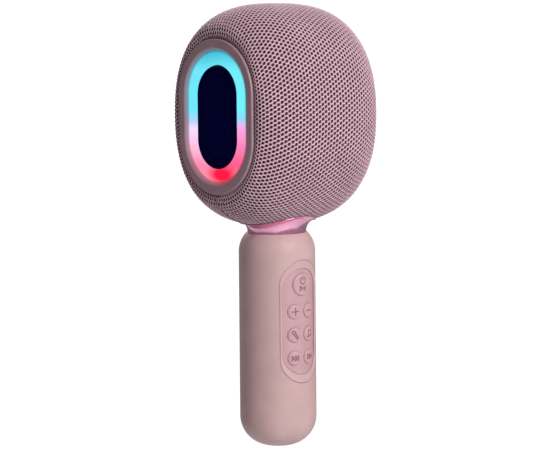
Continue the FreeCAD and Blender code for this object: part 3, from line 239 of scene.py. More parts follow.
class HeadSkin:
    """Outer surface of the head's fabric, with a lip that turns in behind both side bezels."""

    def __init__(self):
        low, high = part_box("fabric_cover")
        self.centre = (low.z + high.z) / 2
        self.half_depth = (high.y - low.y) / 2
        self.half_height = (high.z - low.z) / 2
        self.across_reach = high.x + REACH_PAST_FACE
        self.lip_start = high.x - LIP_BEFORE_FACE
        self.lip_tuck = high.x - TUCK_BEFORE_FACE
        self.bezel_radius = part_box("side_bezel_right")[1].y
        angle = np.linspace(0, 2 * math.pi, RING_SAMPLES)
        power = 2 / SECTION_POWER
        self.ring_y = self.half_depth * np.sign(np.sin(angle)) * np.abs(np.sin(angle)) ** power
        self.ring_z = -self.half_height * np.sign(np.cos(angle)) * np.abs(np.cos(angle)) ** power
        steps = np.hypot(np.diff(self.ring_y), np.diff(self.ring_z))
        length = np.concatenate([[0], np.cumsum(steps)])
        self.ring_length = length[-1]
        self.ring_turn = length / length[-1]
        self.xs = np.linspace(0, self.lip_start, ACROSS_SAMPLES)
        mean = (self.half_depth + self.half_height) / 2
        climb = np.hypot(np.diff(self.xs), np.diff(mean * self.width_at(self.xs)))
        self.across = np.concatenate([[0], np.cumsum(climb)])
        self.body_reach = self.across[-1]
        self.reach = self.body_reach + LIP_LENGTH

    def width_at(self, x):
        """How much the round section shrinks at that distance from the middle."""
        return (1 - (np.abs(x) / self.across_reach) ** ACROSS_POWER) ** (1 / ACROSS_POWER)

    def section(self, turn):
        """Points of the middle section, as depth and height, at shares of a turn from the bottom."""
        turn = turn % 1.0
        return np.stack([np.interp(turn, self.ring_turn, self.ring_y),
                         np.interp(turn, self.ring_turn, self.ring_z)], -1)

    def point(self, across, turn):
        """Points at a distance across from the middle plane and a share of a turn from the bottom."""
        ring = self.section(turn)
        x = np.interp(np.abs(across), self.across, self.xs)
        flat = ring * self.width_at(x)[..., None]
        body = np.concatenate([x[..., None], flat], -1)
        share = np.clip((np.abs(across) - self.body_reach) / LIP_LENGTH, 0, 1)[..., None]
        start_width = self.width_at(np.array(self.lip_start))
        slope = (start_width - self.width_at(np.array(self.lip_start - SLOPE_STEP))) / SLOPE_STEP
        start = np.concatenate([np.full_like(share, self.lip_start), ring * start_width], -1)
        tangent = np.concatenate([np.ones_like(share), ring * slope], -1)
        tangent /= np.linalg.norm(tangent, axis=-1, keepdims=True)
        middle = np.clip(start[..., 2:], -STRAIGHT, STRAIGHT) * [0, 1]
        outward = start[..., 1:] - middle
        outward /= np.linalg.norm(outward, axis=-1, keepdims=True)
        rim = middle + outward * (self.bezel_radius + LIP_RIM_GAP)
        end = np.concatenate([np.full_like(share, self.lip_tuck), rim], -1)
        before = end + np.concatenate([np.full_like(share, LIP_END_PULL[0]), outward * LIP_END_PULL[1]], -1)
        after = start + tangent * LIP_START_PULL
        rest = 1 - share
        lip = start * rest ** 3 + after * 3 * rest ** 2 * share
        lip += before * 3 * rest * share ** 2 + end * share ** 3
        found = np.where(share > 0, lip, body)
        found[..., 0] *= np.where(across < 0, -1, 1)
        found[..., 2] += self.centre
        return found

    def normal(self, across, turn):
        """Outward directions at those places."""
        step, small = 0.05 * MM, 2e-4
        inside = np.clip(across, -self.reach + step, self.reach - step)
        along = self.point(inside + step, turn) - self.point(inside - step, turn)
        round_it = self.point(inside, turn + small) - self.point(inside, turn - small)
        found = np.cross(round_it, along)
        found /= np.linalg.norm(found, axis=-1, keepdims=True)
        return found

    def lifted(self, across, turn, lift):
        """Points at a height above those places."""
        return self.point(across, turn) + self.normal(across, turn) * np.asarray(lift)[..., None]

    def underside(self, x, y):
        """Height of the head's underside over a point of the table."""
        width = self.width_at(x)
        share = np.clip(np.abs(y) / (self.half_depth * width), 0, 1)
        return self.centre - self.half_height * width * (1 - share ** SECTION_POWER) ** (1 / SECTION_POWER)


def net_cells():
    """Centres of the net's cells as column and row numbers; every other column is half a row on."""
    column, row = np.meshgrid(np.arange(-HALF_COLUMNS, HALF_COLUMNS + 1), np.arange(ROWS), indexing="ij")
    centres = np.stack([column, row + 0.5 * (column % 2)], -1).reshape(-1, 2).astype(float)
    pitch = skin.reach / (HALF_COLUMNS + CELL_FAR)
    places = skin.point(centres[:, 0] * pitch, centres[:, 1] / ROWS)
    far = np.hypot(places[:, 0], places[:, 1]) > NECK_CLEARING
    keep = far | (places[:, 2] > skin.centre)
    return centres[keep], places[keep], pitch


def cell_outline():
    """The ten points round one cell, shared with its neighbours."""
    right = [(CELL_NEAR, 0.5), (0.5, 0.25), (CELL_FAR, 0.0), (0.5, -0.25), (CELL_NEAR, -0.5)]
    left = [(-x, -y) for x, y in right]
    return np.array(right + left)


def fabric_half(name, centres, pitch):
    """One half of the net: threads with a rounded top round real holes."""
    outline = cell_outline()
    angles = np.arctan2(outline[:, 1] / HOLE_ALONG, outline[:, 0] / HOLE_ACROSS)
    oval = np.stack([np.cos(angles) * HOLE_ACROSS, np.sin(angles) * HOLE_ALONG], -1)
    hole = OVAL_SHARE * oval + CORNER_SHARE * outline
    hole[:, 1] -= HOLE_SLANT * hole[:, 0]
    # Rings inside the shared border: outline, lift in millimetres, and how much painted light the yarn gets
    # there, falling to painted shade down the hole wall
    rings = [(outline * 0.5 + hole * 0.54, -0.13, 0.72), (hole * 1.10, -0.36, 0.3), (hole, -0.80, 0.0)]
    noise = np.random.default_rng(7)
    count, sides = len(centres), len(outline)
    border = centres[:, None] + outline[None]
    border[..., 1] %= ROWS
    keys = np.round(border.reshape(-1, 2) * KEY_SCALE).astype(int)
    _, first, back = np.unique(keys, axis=0, return_index=True, return_inverse=True)
    shared = border.reshape(-1, 2)[first]
    side = first % sides
    upper, lower = np.isin(side, UPPER_STRAND), np.isin(side, LOWER_STRAND)
    points = [shared]
    lifts = [STRAND_LIFT * upper - STRAND_LIFT * lower + noise.normal(0, BORDER_JITTER, len(shared))]
    # Painted light on the crowns: palest on the strands that cross on top, with painted shade on the strands
    # beneath
    values = [1 - 0.06 * ~upper - 0.24 * lower]
    numbers = [back.reshape(count, sides)]
    shift = noise.normal(0, CELL_JITTER, (count, 1, 2))
    start = len(shared)
    for ring, lift, level in rings:
        points.append((centres[:, None] + ring[None] + shift).reshape(-1, 2))
        lifts.append(np.full(count * sides, lift) + noise.normal(0, WALL_JITTER, count * sides))
        values.append(np.full(count * sides, level))
        numbers.append(start + np.arange(count * sides).reshape(count, sides))
        start += count * sides
    points, lifts = np.concatenate(points), np.concatenate(lifts) * MM
    placed = skin.lifted(points[:, 0] * pitch, points[:, 1] / ROWS, lifts)
    faces = []
    ahead = np.roll(np.arange(sides), -1)
    for outer, inner in zip(numbers, numbers[1:]):
        quads = [outer, outer[:, ahead], inner[:, ahead], inner]
        faces.append(np.stack(quads, -1).reshape(-1, 4))
    piece = add_piece(name, placed, np.concatenate(faces), "root", "mesh_fabric", sharp=180)
    add_values(piece, "painted_thread_shading", np.concatenate(values))
    return piece


def fabric_lining():
    """Dark cloth behind the net."""
    across = np.linspace(-skin.reach, skin.reach, LINING_GRID[0])
    turn = np.linspace(0, 1, LINING_GRID[1], endpoint=False)
    a, t = np.meshgrid(across, turn, indexing="ij")
    placed = skin.lifted(a, t, np.full(a.shape, -LINING_DEPTH)).reshape(-1, 3)
    faces = grid_faces(len(across), len(turn))
    near = np.hypot(placed[:, 0], placed[:, 1]) < NECK_CLEARING - 1 * MM
    opened = near & (placed[:, 2] < skin.centre)
    faces = [f for f in faces if not opened[f].all()]
    return add_piece("fabric_lining", placed, faces, "root", "lining_fabric_look", sharp=180)


def underside_seam(name, side):
    """Sewn ridge along the bottom, from the neck ring to one bezel, with a twist of stitches."""
    start = skin.across[np.searchsorted(skin.xs, SEAM_FROM_AXIS)]
    along = np.linspace(start, skin.reach - SEAM_SHORT_OF_LIP, 240)
    around = np.linspace(0, 2 * math.pi, 10, endpoint=False)
    a, t = np.meshgrid(along, around, indexing="ij")
    twist = STITCH_BULGE * np.sin(a / STITCH_PITCH) ** 2
    radius = SEAM_HEIGHT + 0.4 * twist
    width = np.cos(t) * (SEAM_HALF_WIDTH + twist)
    circumference = 2 * math.pi * (skin.half_depth + skin.half_height) / 2
    lift = np.sin(t) * radius * 1.2
    placed = skin.lifted(a * side, width / circumference, lift)
    piece = add_piece(name, placed.reshape(-1, 3), grid_faces(*a.shape), "root", "mesh_fabric", sharp=180)
    # Painted shade on the seam: mauve along its top, dark down its flanks and underside
    add_values(piece, "painted_thread_shading", 0.2 + 0.3 * np.sin(t).reshape(-1))
    return piece


# ---------------------------------------------------------------- sides of the head

def stadium_directions():
    """Centre points and directions round a stadium, so that centre + radius * direction is its outline."""
    arc = np.linspace(0, math.pi, ARC_STEPS)
    straight = np.linspace(1, -1, STRAIGHT_STEPS)[1:-1]
    upper = [((0, STRAIGHT), (math.cos(t), math.sin(t))) for t in arc]
    down = [((0, STRAIGHT * s), (-1, 0)) for s in straight]
    lower = [((0, -STRAIGHT), (-math.cos(t), -math.sin(t))) for t in arc]
    rise = [((0, -STRAIGHT * s), (1, 0)) for s in straight]
    pairs = np.array(upper + down + lower + rise)
    return pairs[:, 0], pairs[:, 1]


def stadium_sweep(name, profile, side, body, slot, replaced, closed=True, weighted=True):
    """A profile of (radius, distance from the middle) round one side's stadium; an open one is capped."""
    middles, directions = stadium_directions()
    rings = []
    for radius, x in profile:
        flat = middles + directions * radius
        rings.append(np.column_stack([np.full(len(flat), side * x), flat[:, 0], flat[:, 1] + skin.centre]))
    faces = [tuple(f) for f in grid_faces(len(profile), len(middles), closed_rows=closed)]
    if not closed:
        faces.append(tuple(range((len(profile) - 1) * len(middles), len(profile) * len(middles))))
    return add_piece(name, np.concatenate(rings), faces, body, slot, replaced, weighted=weighted)


def ring_sizes(node):
    """Outer radius of a ring on the side, and how far its face is from the middle plane."""
    low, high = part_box(node)
    return high.y, max(abs(low.x), abs(high.x))


def side_bezel(label, side):
    """Flat rim with a slope down to the light ring, and a sleeve that goes into the head."""
    outer, face = ring_sizes("side_bezel_" + label)
    slope_start, slope_end, sleeve = 24.1 * MM, 22.3 * MM, 26.1 * MM
    edge, foot = face - 2.3 * MM, face - 6.0 * MM
    corners = [(outer, edge), (outer, face), (slope_start, face), (slope_end, face - 1.3 * MM),
               (slope_end, foot), (sleeve, foot), (sleeve, edge)]
    radii = [0, 0.75 * MM, 0.35 * MM, 0.2 * MM, 0, 0, 0]
    profile = round_corners(corners, radii)
    piece = stadium_sweep("bezel_" + label, profile, side, "root", "bezel_plastic", ["side_bezel_" + label])
    # Painted glow: the ring's light painted on the bezel's slope, strongest next to the ring
    lit = np.clip((slope_start - profile[:, 0]) / (slope_start - slope_end), 0, 1) ** 2
    add_values(piece, "glow", np.repeat(lit * PAINTED_SLOPE_GLOW, len(piece.data.vertices) // len(profile)))


def light_ring(label, side):
    """Slightly domed diffuser, a little dimmer at its rim."""
    outer, face = ring_sizes("light_ring_" + label)
    inner = 15.3 * MM
    middle = (outer + inner) / 2
    rim = outer - 0.8 * MM
    back, edge = face - 1.8 * MM, face - 0.15 * MM
    corners = [(outer, back), (outer, edge), (rim, face - 0.08 * MM), (middle, face + 0.05 * MM),
               (inner, edge), (inner, back)]
    radii = [0, 0.2 * MM, 0, 2.0 * MM, 0.3 * MM, 0]
    profile = round_corners(corners, radii)
    piece = stadium_sweep("glow_" + label, profile, side, "root", "light_diffuser", ["light_ring_" + label])
    lit = RIM_GLOW + (1 - RIM_GLOW) * np.clip((outer - profile[:, 0]) / (outer - rim), 0, 1)
    add_values(piece, "glow", np.repeat(lit, len(piece.data.vertices) // len(profile)))


def radiator(label, side):
    """Rubber roll round a stiff plate; the plate moves with the radiator's body."""
    face = max(abs(v.x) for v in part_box("radiator_plate_" + label))
    middle = (ROLL_OUTER + ROLL_INNER) / 2
    half = (ROLL_OUTER - ROLL_INNER) / 2 - ROLL_SHOULDER
    base, ledge = face - ROLL_DROP, ROLL_INNER - LEDGE_WIDTH
    roll = [(ROLL_OUTER, face - 1.2 * MM), (ROLL_OUTER, base)]
    for k in range(ROLL_STEPS + 1):
        t = math.pi * k / ROLL_STEPS
        roll.append((middle + half * math.cos(t), base + half * ROLL_CROWN * math.sin(t)))
    roll += [(ROLL_INNER, base), (ROLL_INNER, face - LEDGE_TOP), (ledge, face - LEDGE_TOP),
             (ledge, face - LEDGE_BOTTOM), (ROLL_INNER + 0.6 * MM, face - LEDGE_BOTTOM)]
    stadium_sweep("roll_" + label, roll, side, "root", "radiator_rubber",
                  ["radiator_surround_" + label], weighted=False)
    corners = [(PLATE_EDGE, face - 1.5 * MM), (PLATE_EDGE, face - 0.1 * MM),
               (PLATE_EDGE - 2.2 * MM, face - 0.05 * MM), (PLATE_EDGE - 3.0 * MM, face - 0.45 * MM),
               (0.9 * MM, face - 0.3 * MM)]
    radii = [0, 0.4 * MM, 0.5 * MM, 0.6 * MM, 0]
    profile = round_corners(corners, radii, closed=False)
    stadium_sweep("plate_" + label, profile, side, "radiator_" + label, "radiator_plate",
                  ["radiator_plate_" + label], closed=False, weighted=False)


# ---------------------------------------------------------------- neck

def neck_flare():
    """Flared ring whose rim follows the head's underside."""
    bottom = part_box("neck_ring")[0].z
    turn = np.linspace(0, 2 * math.pi, NECK_TURN_STEPS, endpoint=False)
    beside, toward = np.cos(turn), np.sin(turn)

    def skin_height(radius):
        return skin.underside(beside * radius, toward * radius)

    rim_height = skin_height(NECK_RIM) - RIM_BELOW_SKIN
    flat = np.full_like(turn, bottom)
    rings = [(NECK_BORE, flat), (NECK_FOOT - 0.25 * MM, flat)]
    for k in range(FLARE_STEPS + 1):
        t = math.pi / 2 * k / FLARE_STEPS
        radius = NECK_FOOT + (NECK_RIM - NECK_FOOT) * (1 - math.cos(t))
        rings.append((radius, bottom + 0.1 * MM + (rim_height - bottom - 0.1 * MM) * math.sin(t)))
    for k in range(1, RIM_STEPS + 1):
        t = math.pi * k / RIM_STEPS
        rings.append((NECK_RIM + RIM_ROUND * math.sin(t), rim_height + RIM_ROUND * (1 - math.cos(t))))
    for radius in (19.0 * MM, 17.5 * MM, NECK_BORE):
        rings.append((radius, skin_height(radius) - TOP_BELOW_SKIN))
    points = [np.column_stack([beside * radius, toward * radius, height]) for radius, height in rings]
    faces = grid_faces(len(rings), len(turn), closed_rows=True)
    add_piece("neck_flare", np.concatenate(points), faces, "root", "neck_plating", ["neck_ring"])


# ---------------------------------------------------------------- keypad

def on_handle(x, z, radius):
    """Points over the handle's front at those distances from its axis."""
    return np.stack([x, -np.sqrt(radius ** 2 - x ** 2), z], -1)


def keypad_band():
    """Band round the keypad that slopes in from the handle's surface to the panel."""
    low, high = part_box("keypad_bezel")
    middle = (low.z + high.z) / 2
    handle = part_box("handle_shell")[1].x
    outer = np.array([high.x, (high.z - low.z) / 2])
    inner = outer - BAND_WIDTH
    # Stations from the outer groove over the slope to the inner one: half sizes and distance from the axis
    stations = [(outer, BAND_SEAT), (outer, handle - 0.45 * MM), (outer - GROOVE * 0.5, handle - 0.22 * MM),
                (outer - GROOVE * 1.5, handle - 0.05 * MM), (outer - GROOVE * 3, handle - BAND_SINK)]
    for share in np.linspace(0.3, 0.84, 7):
        stations.append((outer + (inner - outer) * share, handle - BAND_SINK - BAND_SLOPE * share))
    stations += [(inner + GROOVE * 3, handle - 0.72 * MM), (inner + GROOVE * 2, handle - 0.84 * MM),
                 (inner + GROOVE * 2, BAND_LEDGE), (inner, BAND_LEDGE),
                 (inner, BAND_BOTTOM), (outer, BAND_BOTTOM)]
    arc = np.linspace(0, math.pi, BAND_ARC_POINTS)
    up = np.linspace(-1, 1, BAND_SIDE_POINTS)[1:-1]
    rings = []
    for (width, height), radius in stations:
        rise = height - width
        x = np.concatenate([np.cos(arc) * width, np.full(len(up), -width),
                            -np.cos(arc) * width, np.full(len(up), width)])
        z = np.concatenate([np.sin(arc) * width + rise, -up * rise, -np.sin(arc) * width - rise, up * rise])
        rings.append(on_handle(x, z + middle, np.full_like(x, radius)))
    faces = grid_faces(len(rings), len(rings[0]), closed_rows=True)
    piece = add_piece("keypad_band", np.concatenate(rings), faces, "root", "keypad_plastic", ["keypad_bezel"])
    shown = [radius > handle - 0.8 * MM for _, radius in stations]
    add_values(piece, "band", np.repeat(shown, len(rings[0])))


def button_place(name):
    """Middle of a button across and up, and the radius of its cap."""
    low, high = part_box("button_" + name)
    return (low.x + high.x) / 2, (low.z + high.z) / 2, (high.z - low.z) / 2 - FLANGE


def gap_floor(name):
    """Shallow floor of the gap round a button."""
    middle_x, middle_z, radius = button_place(name)
    turn = np.linspace(0, 2 * math.pi, GAP_POINTS, endpoint=False)
    near, far, deep = radius + 0.03 * MM, radius + 0.19 * MM, PANEL_RADIUS - 0.7 * MM
    profile = [(near, deep), (near, PANEL_RADIUS - 0.12 * MM), (radius + 0.10 * MM, PANEL_RADIUS - 0.06 * MM),
               (far, PANEL_RADIUS - 0.02 * MM), (far, deep)]
    rings = [on_handle(middle_x + d * np.cos(turn), middle_z + d * np.sin(turn), np.full_like(turn, r))
             for d, r in profile]
    faces = grid_faces(len(rings), len(turn), closed_rows=True)
    add_piece("gap_" + name, np.concatenate(rings), faces, "root", "keypad_plastic", sharp=60)


def to_stroke(p, start, end):
    """Distance of points to a straight stroke."""
    start, end = np.array(start) * MM, np.array(end) * MM
    way = end - start
    share = np.clip(((p - start) @ way) / (way @ way), 0, 1)
    return np.linalg.norm(p - start - share[..., None] * way, axis=-1)


def to_strokes(p, corners, closed=False):
    """Distance of points to a chain of strokes."""
    ends = corners[1:] + (corners[:1] if closed else [])
    return np.min([to_stroke(p, a, b) for a, b in zip(corners, ends)], axis=0)


def to_arc(p, centre, radius, start, end):
    """Distance of points to an arc between two angles in degrees."""
    turns = [math.radians(start + (end - start) * k / ARC_STROKES) for k in range(ARC_STROKES + 1)]
    corners = [(centre[0] + radius * math.cos(t), centre[1] + radius * math.sin(t)) for t in turns]
    return to_strokes(p, corners)


def skip_sign(p, way):
    """Bar and two triangles; way is -1 for the previous track and 1 for the next."""
    first = [(way * 1.6, 0), (way * 0.05, 1.25), (way * 0.05, -1.25)]
    second = [(way * -0.1, 0), (way * -1.65, 1.25), (way * -1.65, -1.25)]
    bar = to_stroke(p, (way * 1.95, -1.35), (way * 1.95, 1.35))
    return np.minimum(bar, np.minimum(to_strokes(p, first, True), to_strokes(p, second, True)))


def icon_distance(name, p):
    """Distance of points on a button's top to its sign's strokes, which are drawn in millimetres."""
    if name == "plus":
        return np.minimum(to_stroke(p, (-1.9, 0), (1.9, 0)), to_stroke(p, (0, -1.9), (0, 1.9)))
    if name == "minus":
        return to_stroke(p, (-1.8, 0), (1.8, 0))
    if name == "power":
        ring = to_arc(p, (0, 2.1), 1.8, 128, 412)
        play = to_strokes(p, [(-1.9, -0.9), (-1.9, -3.2), (-0.1, -2.05)], True)
        bars = np.minimum(to_stroke(p, (0.8, -3.1), (0.8, -1.0)), to_stroke(p, (1.7, -3.1), (1.7, -1.0)))
        return np.min([ring, to_stroke(p, (0, 2.3), (0, 4.3)), play, bars], axis=0)
    if name == "echo":
        head = to_arc(p, (-1.0, 1.25), 0.85, 0, 360)
        body = to_strokes(p, [(-0.95, 0.15), (1.15, -2.15), (1.55, -1.85), (0.1, 0.85)], True)
        return np.minimum(head, body)
    if name == "mode":
        stems = to_strokes(p, [(-0.75, -1.3), (-0.75, 1.5), (1.35, 1.9), (1.35, -0.9)])
        left_note = to_stroke(p, (-1.35, -1.45), (-0.95, -1.3))
        right_note = to_stroke(p, (0.75, -1.05), (1.15, -0.9))
        return np.minimum(stems, np.minimum(left_note, right_note) - 0.3 * MM)
    return skip_sign(p, -1 if name == "previous" else 1)


def button_cap(name):
    """Round cap with a soft edge and its sign pressed in, bent to the handle's curve."""
    middle_x, middle_z, radius = button_place(name)
    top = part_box("handle_shell")[1].x - CAP_SINK
    flat = radius - CAP_EDGE
    spread = list(np.linspace(CAP_CENTRE, flat, int(round(flat / CAP_RING_PITCH))))
    drop = [CAP_DOME * (d / flat) ** 2 for d in spread]
    for k in range(1, CAP_EDGE_STEPS + 1):
        t = math.pi / 2 * k / CAP_EDGE_STEPS
        spread.append(flat + CAP_EDGE * math.sin(t))
        drop.append(CAP_DOME + CAP_EDGE_DROP * (1 - math.cos(t)))
    spread.append(radius)
    drop.append(top - CAP_BOTTOM)
    turn = np.linspace(0, 2 * math.pi, CAP_POINTS, endpoint=False)
    d, t = np.meshgrid(spread, turn, indexing="ij")
    away = np.array(drop)[:, None]
    local = np.stack([d * np.cos(t), d * np.sin(t)], -1)
    soft = (icon_distance(name, local) - STROKE) / STROKE_SOFT
    groove = 1 - np.clip(soft * 0.5 + 0.5, 0, 1)
    groove = groove * groove * (3 - 2 * groove)
    x, z = middle_x + local[..., 0], middle_z + local[..., 1]
    placed = on_handle(x, z, top - away - groove * ENGRAVED).reshape(-1, 3)
    faces = [tuple(f) for f in grid_faces(*d.shape)]
    faces.append(tuple(range(len(turn))))
    piece = add_piece("cap_" + name, placed, faces, "button_" + name, "button_plastic", ["button_" + name],
                      sharp=60)
    add_values(piece, "groove", groove.reshape(-1))


# ---------------------------------------------------------------- materials

class Look:
    """A node material: one Principled shader with procedural colour, roughness and relief."""

    def __init__(self, name, colour, roughness=0.5, metallic=0.0, specular=0.5, coat=0.0, sheen=0.0):
        self.material = bpy.data.materials.new(name)
        self.material.use_nodes = True
        self.tree = self.material.node_tree
        self.shader = self.tree.nodes["Principled BSDF"]
        self.colour = np.array(colour, float)
        self.set("Base Color", (*colour, 1))
        self.set("Roughness", roughness)
        self.set("Metallic", metallic)
        self.set("Specular IOR Level", specular)
        self.set("Coat Weight", coat)
        self.set("Sheen Weight", sheen)

    def set(self, socket, value):
        """A number or colour on the shader's own socket."""
        self.shader.inputs[socket].default_value = value

    def add(self, kind, **settings):
        """A node; each setting goes to its socket of that name, or else to the node itself."""
        node = self.tree.nodes.new("ShaderNode" + kind)
        for key, value in settings.items():
            if key in node.inputs:
                node.inputs[key].default_value = value
            else:
                setattr(node, key, value)
        return node

    def join(self, out, into):
        self.tree.links.new(out, into)

    def place(self, stretch=(1, 1, 1)):
        """Object coordinates, stretched."""
        mapping = self.add("Mapping")
        mapping.inputs["Scale"].default_value = stretch
        self.join(self.add("TexCoord").outputs["Object"], mapping.inputs["Vector"])
        return mapping.outputs["Vector"]

    def noise(self, size, detail=3.0, stretch=(1, 1, 1)):
        """Noise with spots of about that size, in metres."""
        node = self.add("TexNoise", Scale=1 / size, Detail=detail)
        self.join(self.place(stretch), node.inputs["Vector"])
        return node.outputs["Fac"]

    def cells(self, size):
        """Distance to the middle of the nearest cell, for cells of about that size."""
        node = self.add("TexVoronoi", Scale=1 / size)
        self.join(self.place(), node.inputs["Vector"])
        return node.outputs["Distance"]

    def bands(self, size, warp=1.0):
        """Bands across the depth of the part."""
        node = self.add("TexWave", bands_direction="Y", Scale=1 / (math.pi * size), Distortion=warp)
        self.join(self.place(), node.inputs["Vector"])
        return node.outputs["Fac"]

    def own(self, name):
        """A number stored on the mesh."""
        return self.add("Attribute", attribute_name=name).outputs["Fac"]

    def ramp(self, source, stops):
        """Colours along a number; stops are (place, colour)."""
        node = self.add("ValToRGB")
        while len(node.color_ramp.elements) < len(stops):
            node.color_ramp.elements.new(0.5)
        for element, (place, colour) in zip(node.color_ramp.elements, stops):
            element.position = place
            element.color = (*colour, 1)
        self.join(source, node.inputs["Fac"])
        return node.outputs["Color"]

    def vary(self, source, amount):
        """Colour that drifts about the base by a share, from a noise."""
        stops = [(0.3, tuple(self.colour * (1 - amount))), (0.7, tuple(self.colour * (1 + amount)))]
        return self.ramp(source, stops)

    def mix(self, factor, first, second, blend="MIX"):
        """Two colours blended; each value is a socket, a colour or, for the factor, a number."""
        node = self.add("Mix", data_type="RGBA", blend_type=blend)
        for socket, value in ((0, factor), (6, first), (7, second)):
            if isinstance(value, bpy.types.NodeSocket):
                self.join(value, node.inputs[socket])
            else:
                node.inputs[socket].default_value = value if socket == 0 else (*value, 1)
        return node.outputs[2]

    def paint(self, colour):
        self.join(colour, self.shader.inputs["Base Color"])

    def span(self, source, start, end, low=0.0, high=1.0):
        """A number from start to end turned into one from low to high."""
        node = self.add("MapRange")
        for socket, value in (("From Min", start), ("From Max", end), ("To Min", low), ("To Max", high)):
            node.inputs[socket].default_value = value
        self.join(source, node.inputs["Value"])
        return node.outputs["Result"]

    def rough(self, source, low, high):
        """Roughness that drifts between two values with a noise."""
        self.join(self.span(source, 0.3, 0.7, low, high), self.shader.inputs["Roughness"])

    def raise_by(self, source, depth):
        """Relief of that depth in metres."""
        node = self.add("Bump", Strength=1.0, Distance=depth)
        self.join(source, node.inputs["Height"])
        self.join(node.outputs["Normal"], self.shader.inputs["Normal"])


def moulded(name, colour, roughness, grain, depth, specular=0.5, drift=0.05, coat=0.0, over=None):
    """Moulded plastic or rubber: slow colour drift, uneven gloss and a fine grain.

    over is a number stored on the mesh and the colour that it brings in.
    """
    look = Look(name, colour, roughness, specular=specular, coat=coat)
    base = look.vary(look.noise(9 * MM), drift)
    if over:
        base = look.mix(look.own(over[0]), base, over[1])
    look.paint(base)
    look.rough(look.noise(3 * MM), roughness - 0.05, roughness + 0.06)
    look.raise_by(look.noise(grain, 2.0), depth)
    return look


def keypad_look():
    """The panel's plastic; the band round it is a little paler."""
    return moulded("keypad_plastic_look", (0.57, 0.345, 0.37), 0.5, 0.25 * MM, 0.012 * MM,
                   over=("band", (0.61, 0.39, 0.40)))


def button_look():
    """The caps' plastic; the sign pressed into it is darker."""
    return moulded("button_plastic_look", (0.585, 0.355, 0.378), 0.5, 0.25 * MM, 0.012 * MM,
                   drift=0.04, over=("groove", (0.24, 0.10, 0.12)))


def plating_look():
    """Pink plating with a faint brushed grain."""
    look = Look("neck_plating_look", (0.96, 0.46, 0.67), 0.16, metallic=0.85)
    look.paint(look.vary(look.noise(12 * MM), 0.04))
    look.rough(look.noise(1.2 * MM, 4.0), 0.14, 0.22)
    look.raise_by(look.noise(0.4 * MM, 2.0, (1, 1, 4)), 0.004 * MM)
    return look


def fabric_look():
    """Net threads: painted highlight on the crowns, mauve flanks and painted shade down the hole walls, with
    fine fibres.
    """
    look = Look("mesh_fabric_look", (0.70, 0.44, 0.51), 0.62, specular=0.4, sheen=0.3)
    # Painted light and shade by how deep the yarn lies: pale painted highlight at the crowns, painted shade
    # into the holes
    depth = look.ramp(look.own("painted_thread_shading"), [(0.0, (0.06, 0.018, 0.032)), (0.3, (0.22, 0.09, 0.13)),
                                           (0.72, (0.60, 0.345, 0.41)), (1.0, (1.0, 0.78, 0.83))])
    fibres = look.ramp(look.noise(0.22 * MM, 4.0), [(0.3, (0.72, 0.72, 0.72)), (0.7, (1.16, 1.16, 1.16))])
    patches = look.ramp(look.noise(14 * MM, 2.0), [(0.3, (0.93, 0.92, 0.93)), (0.7, (1.05, 1.04, 1.05))])
    look.paint(look.mix(1.0, look.mix(1.0, depth, fibres, "MULTIPLY"), patches, "MULTIPLY"))
    look.raise_by(look.noise(0.16 * MM, 3.0), 0.05 * MM)
    return look


def lining_look():
    """Dark cloth with a fine weave."""
    look = Look("lining_fabric_look", (0.075, 0.022, 0.038), 0.95, specular=0.1)
    look.paint(look.vary(look.noise(1.2 * MM), 0.25))
    look.raise_by(look.cells(0.5 * MM), 0.08 * MM)
    return look


def ring_glow(look):
    """Light of the ring: cyan above, rose below, with one hot red spot at the bottom."""
    low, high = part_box("light_ring_left")
    reach = (high.z - low.z) / 2
    split = look.add("SeparateXYZ")
    look.join(look.place(), split.inputs[0])
    rise = look.span(split.outputs["Z"], skin.centre - reach, skin.centre + reach)
    # The rear half of the ring is paler than the front half
    cool = look.ramp(rise, [(0.0, (1.0, 0.30, 0.34)), (0.14, (1.0, 0.10, 0.25)), (0.28, (1.0, 0.22, 0.50)),
                            (0.43, (0.95, 0.40, 0.82)), (0.49, (0.28, 0.70, 1.0)), (0.59, (0.15, 0.90, 0.98)),
                            (0.86, (0.17, 0.85, 0.97)), (1.0, (0.05, 0.55, 0.75))])
    pale = look.ramp(rise, [(0.0, (1.0, 0.30, 0.38)), (0.12, (1.0, 0.25, 0.42)), (0.25, (1.0, 0.50, 0.72)),
                            (0.40, (0.92, 0.72, 1.0)), (0.47, (0.40, 0.66, 0.95)), (0.55, (0.14, 0.82, 0.97)),
                            (0.86, (0.15, 0.80, 0.95)), (1.0, (0.04, 0.45, 0.62))])
    rear = look.span(split.outputs["Y"], -SIDE_BLEND, SIDE_BLEND)
    spot_height = skin.centre - reach + SPOT_RISE
    shift = look.add("Mapping")
    shift.inputs["Scale"].default_value = (0.0, 1 / SPOT_REACH, SPOT_SQUASH / SPOT_REACH)
    shift.inputs["Location"].default_value = (0, SPOT_FORWARD / SPOT_REACH,
                                              -spot_height * SPOT_SQUASH / SPOT_REACH)
    look.join(look.add("TexCoord").outputs["Object"], shift.inputs["Vector"])
    spot = look.add("TexGradient", gradient_type="SPHERICAL")
    look.join(shift.outputs["Vector"], spot.inputs["Vector"])
    heat = look.span(spot.outputs["Fac"], 0.0, 0.6)
    return look.mix(heat, look.mix(rear, cool, pale), (1.0, 0.002, 0.055))


def lit_by_ring(look):
    """Emission in the ring's colours, by the amount stored on the mesh: the ring's own light on the diffuser,
    painted glow on the bezel's slope.
    """
    look.join(look.mix(look.own("glow"), (0, 0, 0), ring_glow(look)), look.shader.inputs["Emission Color"])
    look.set("Emission Strength", 1.0)


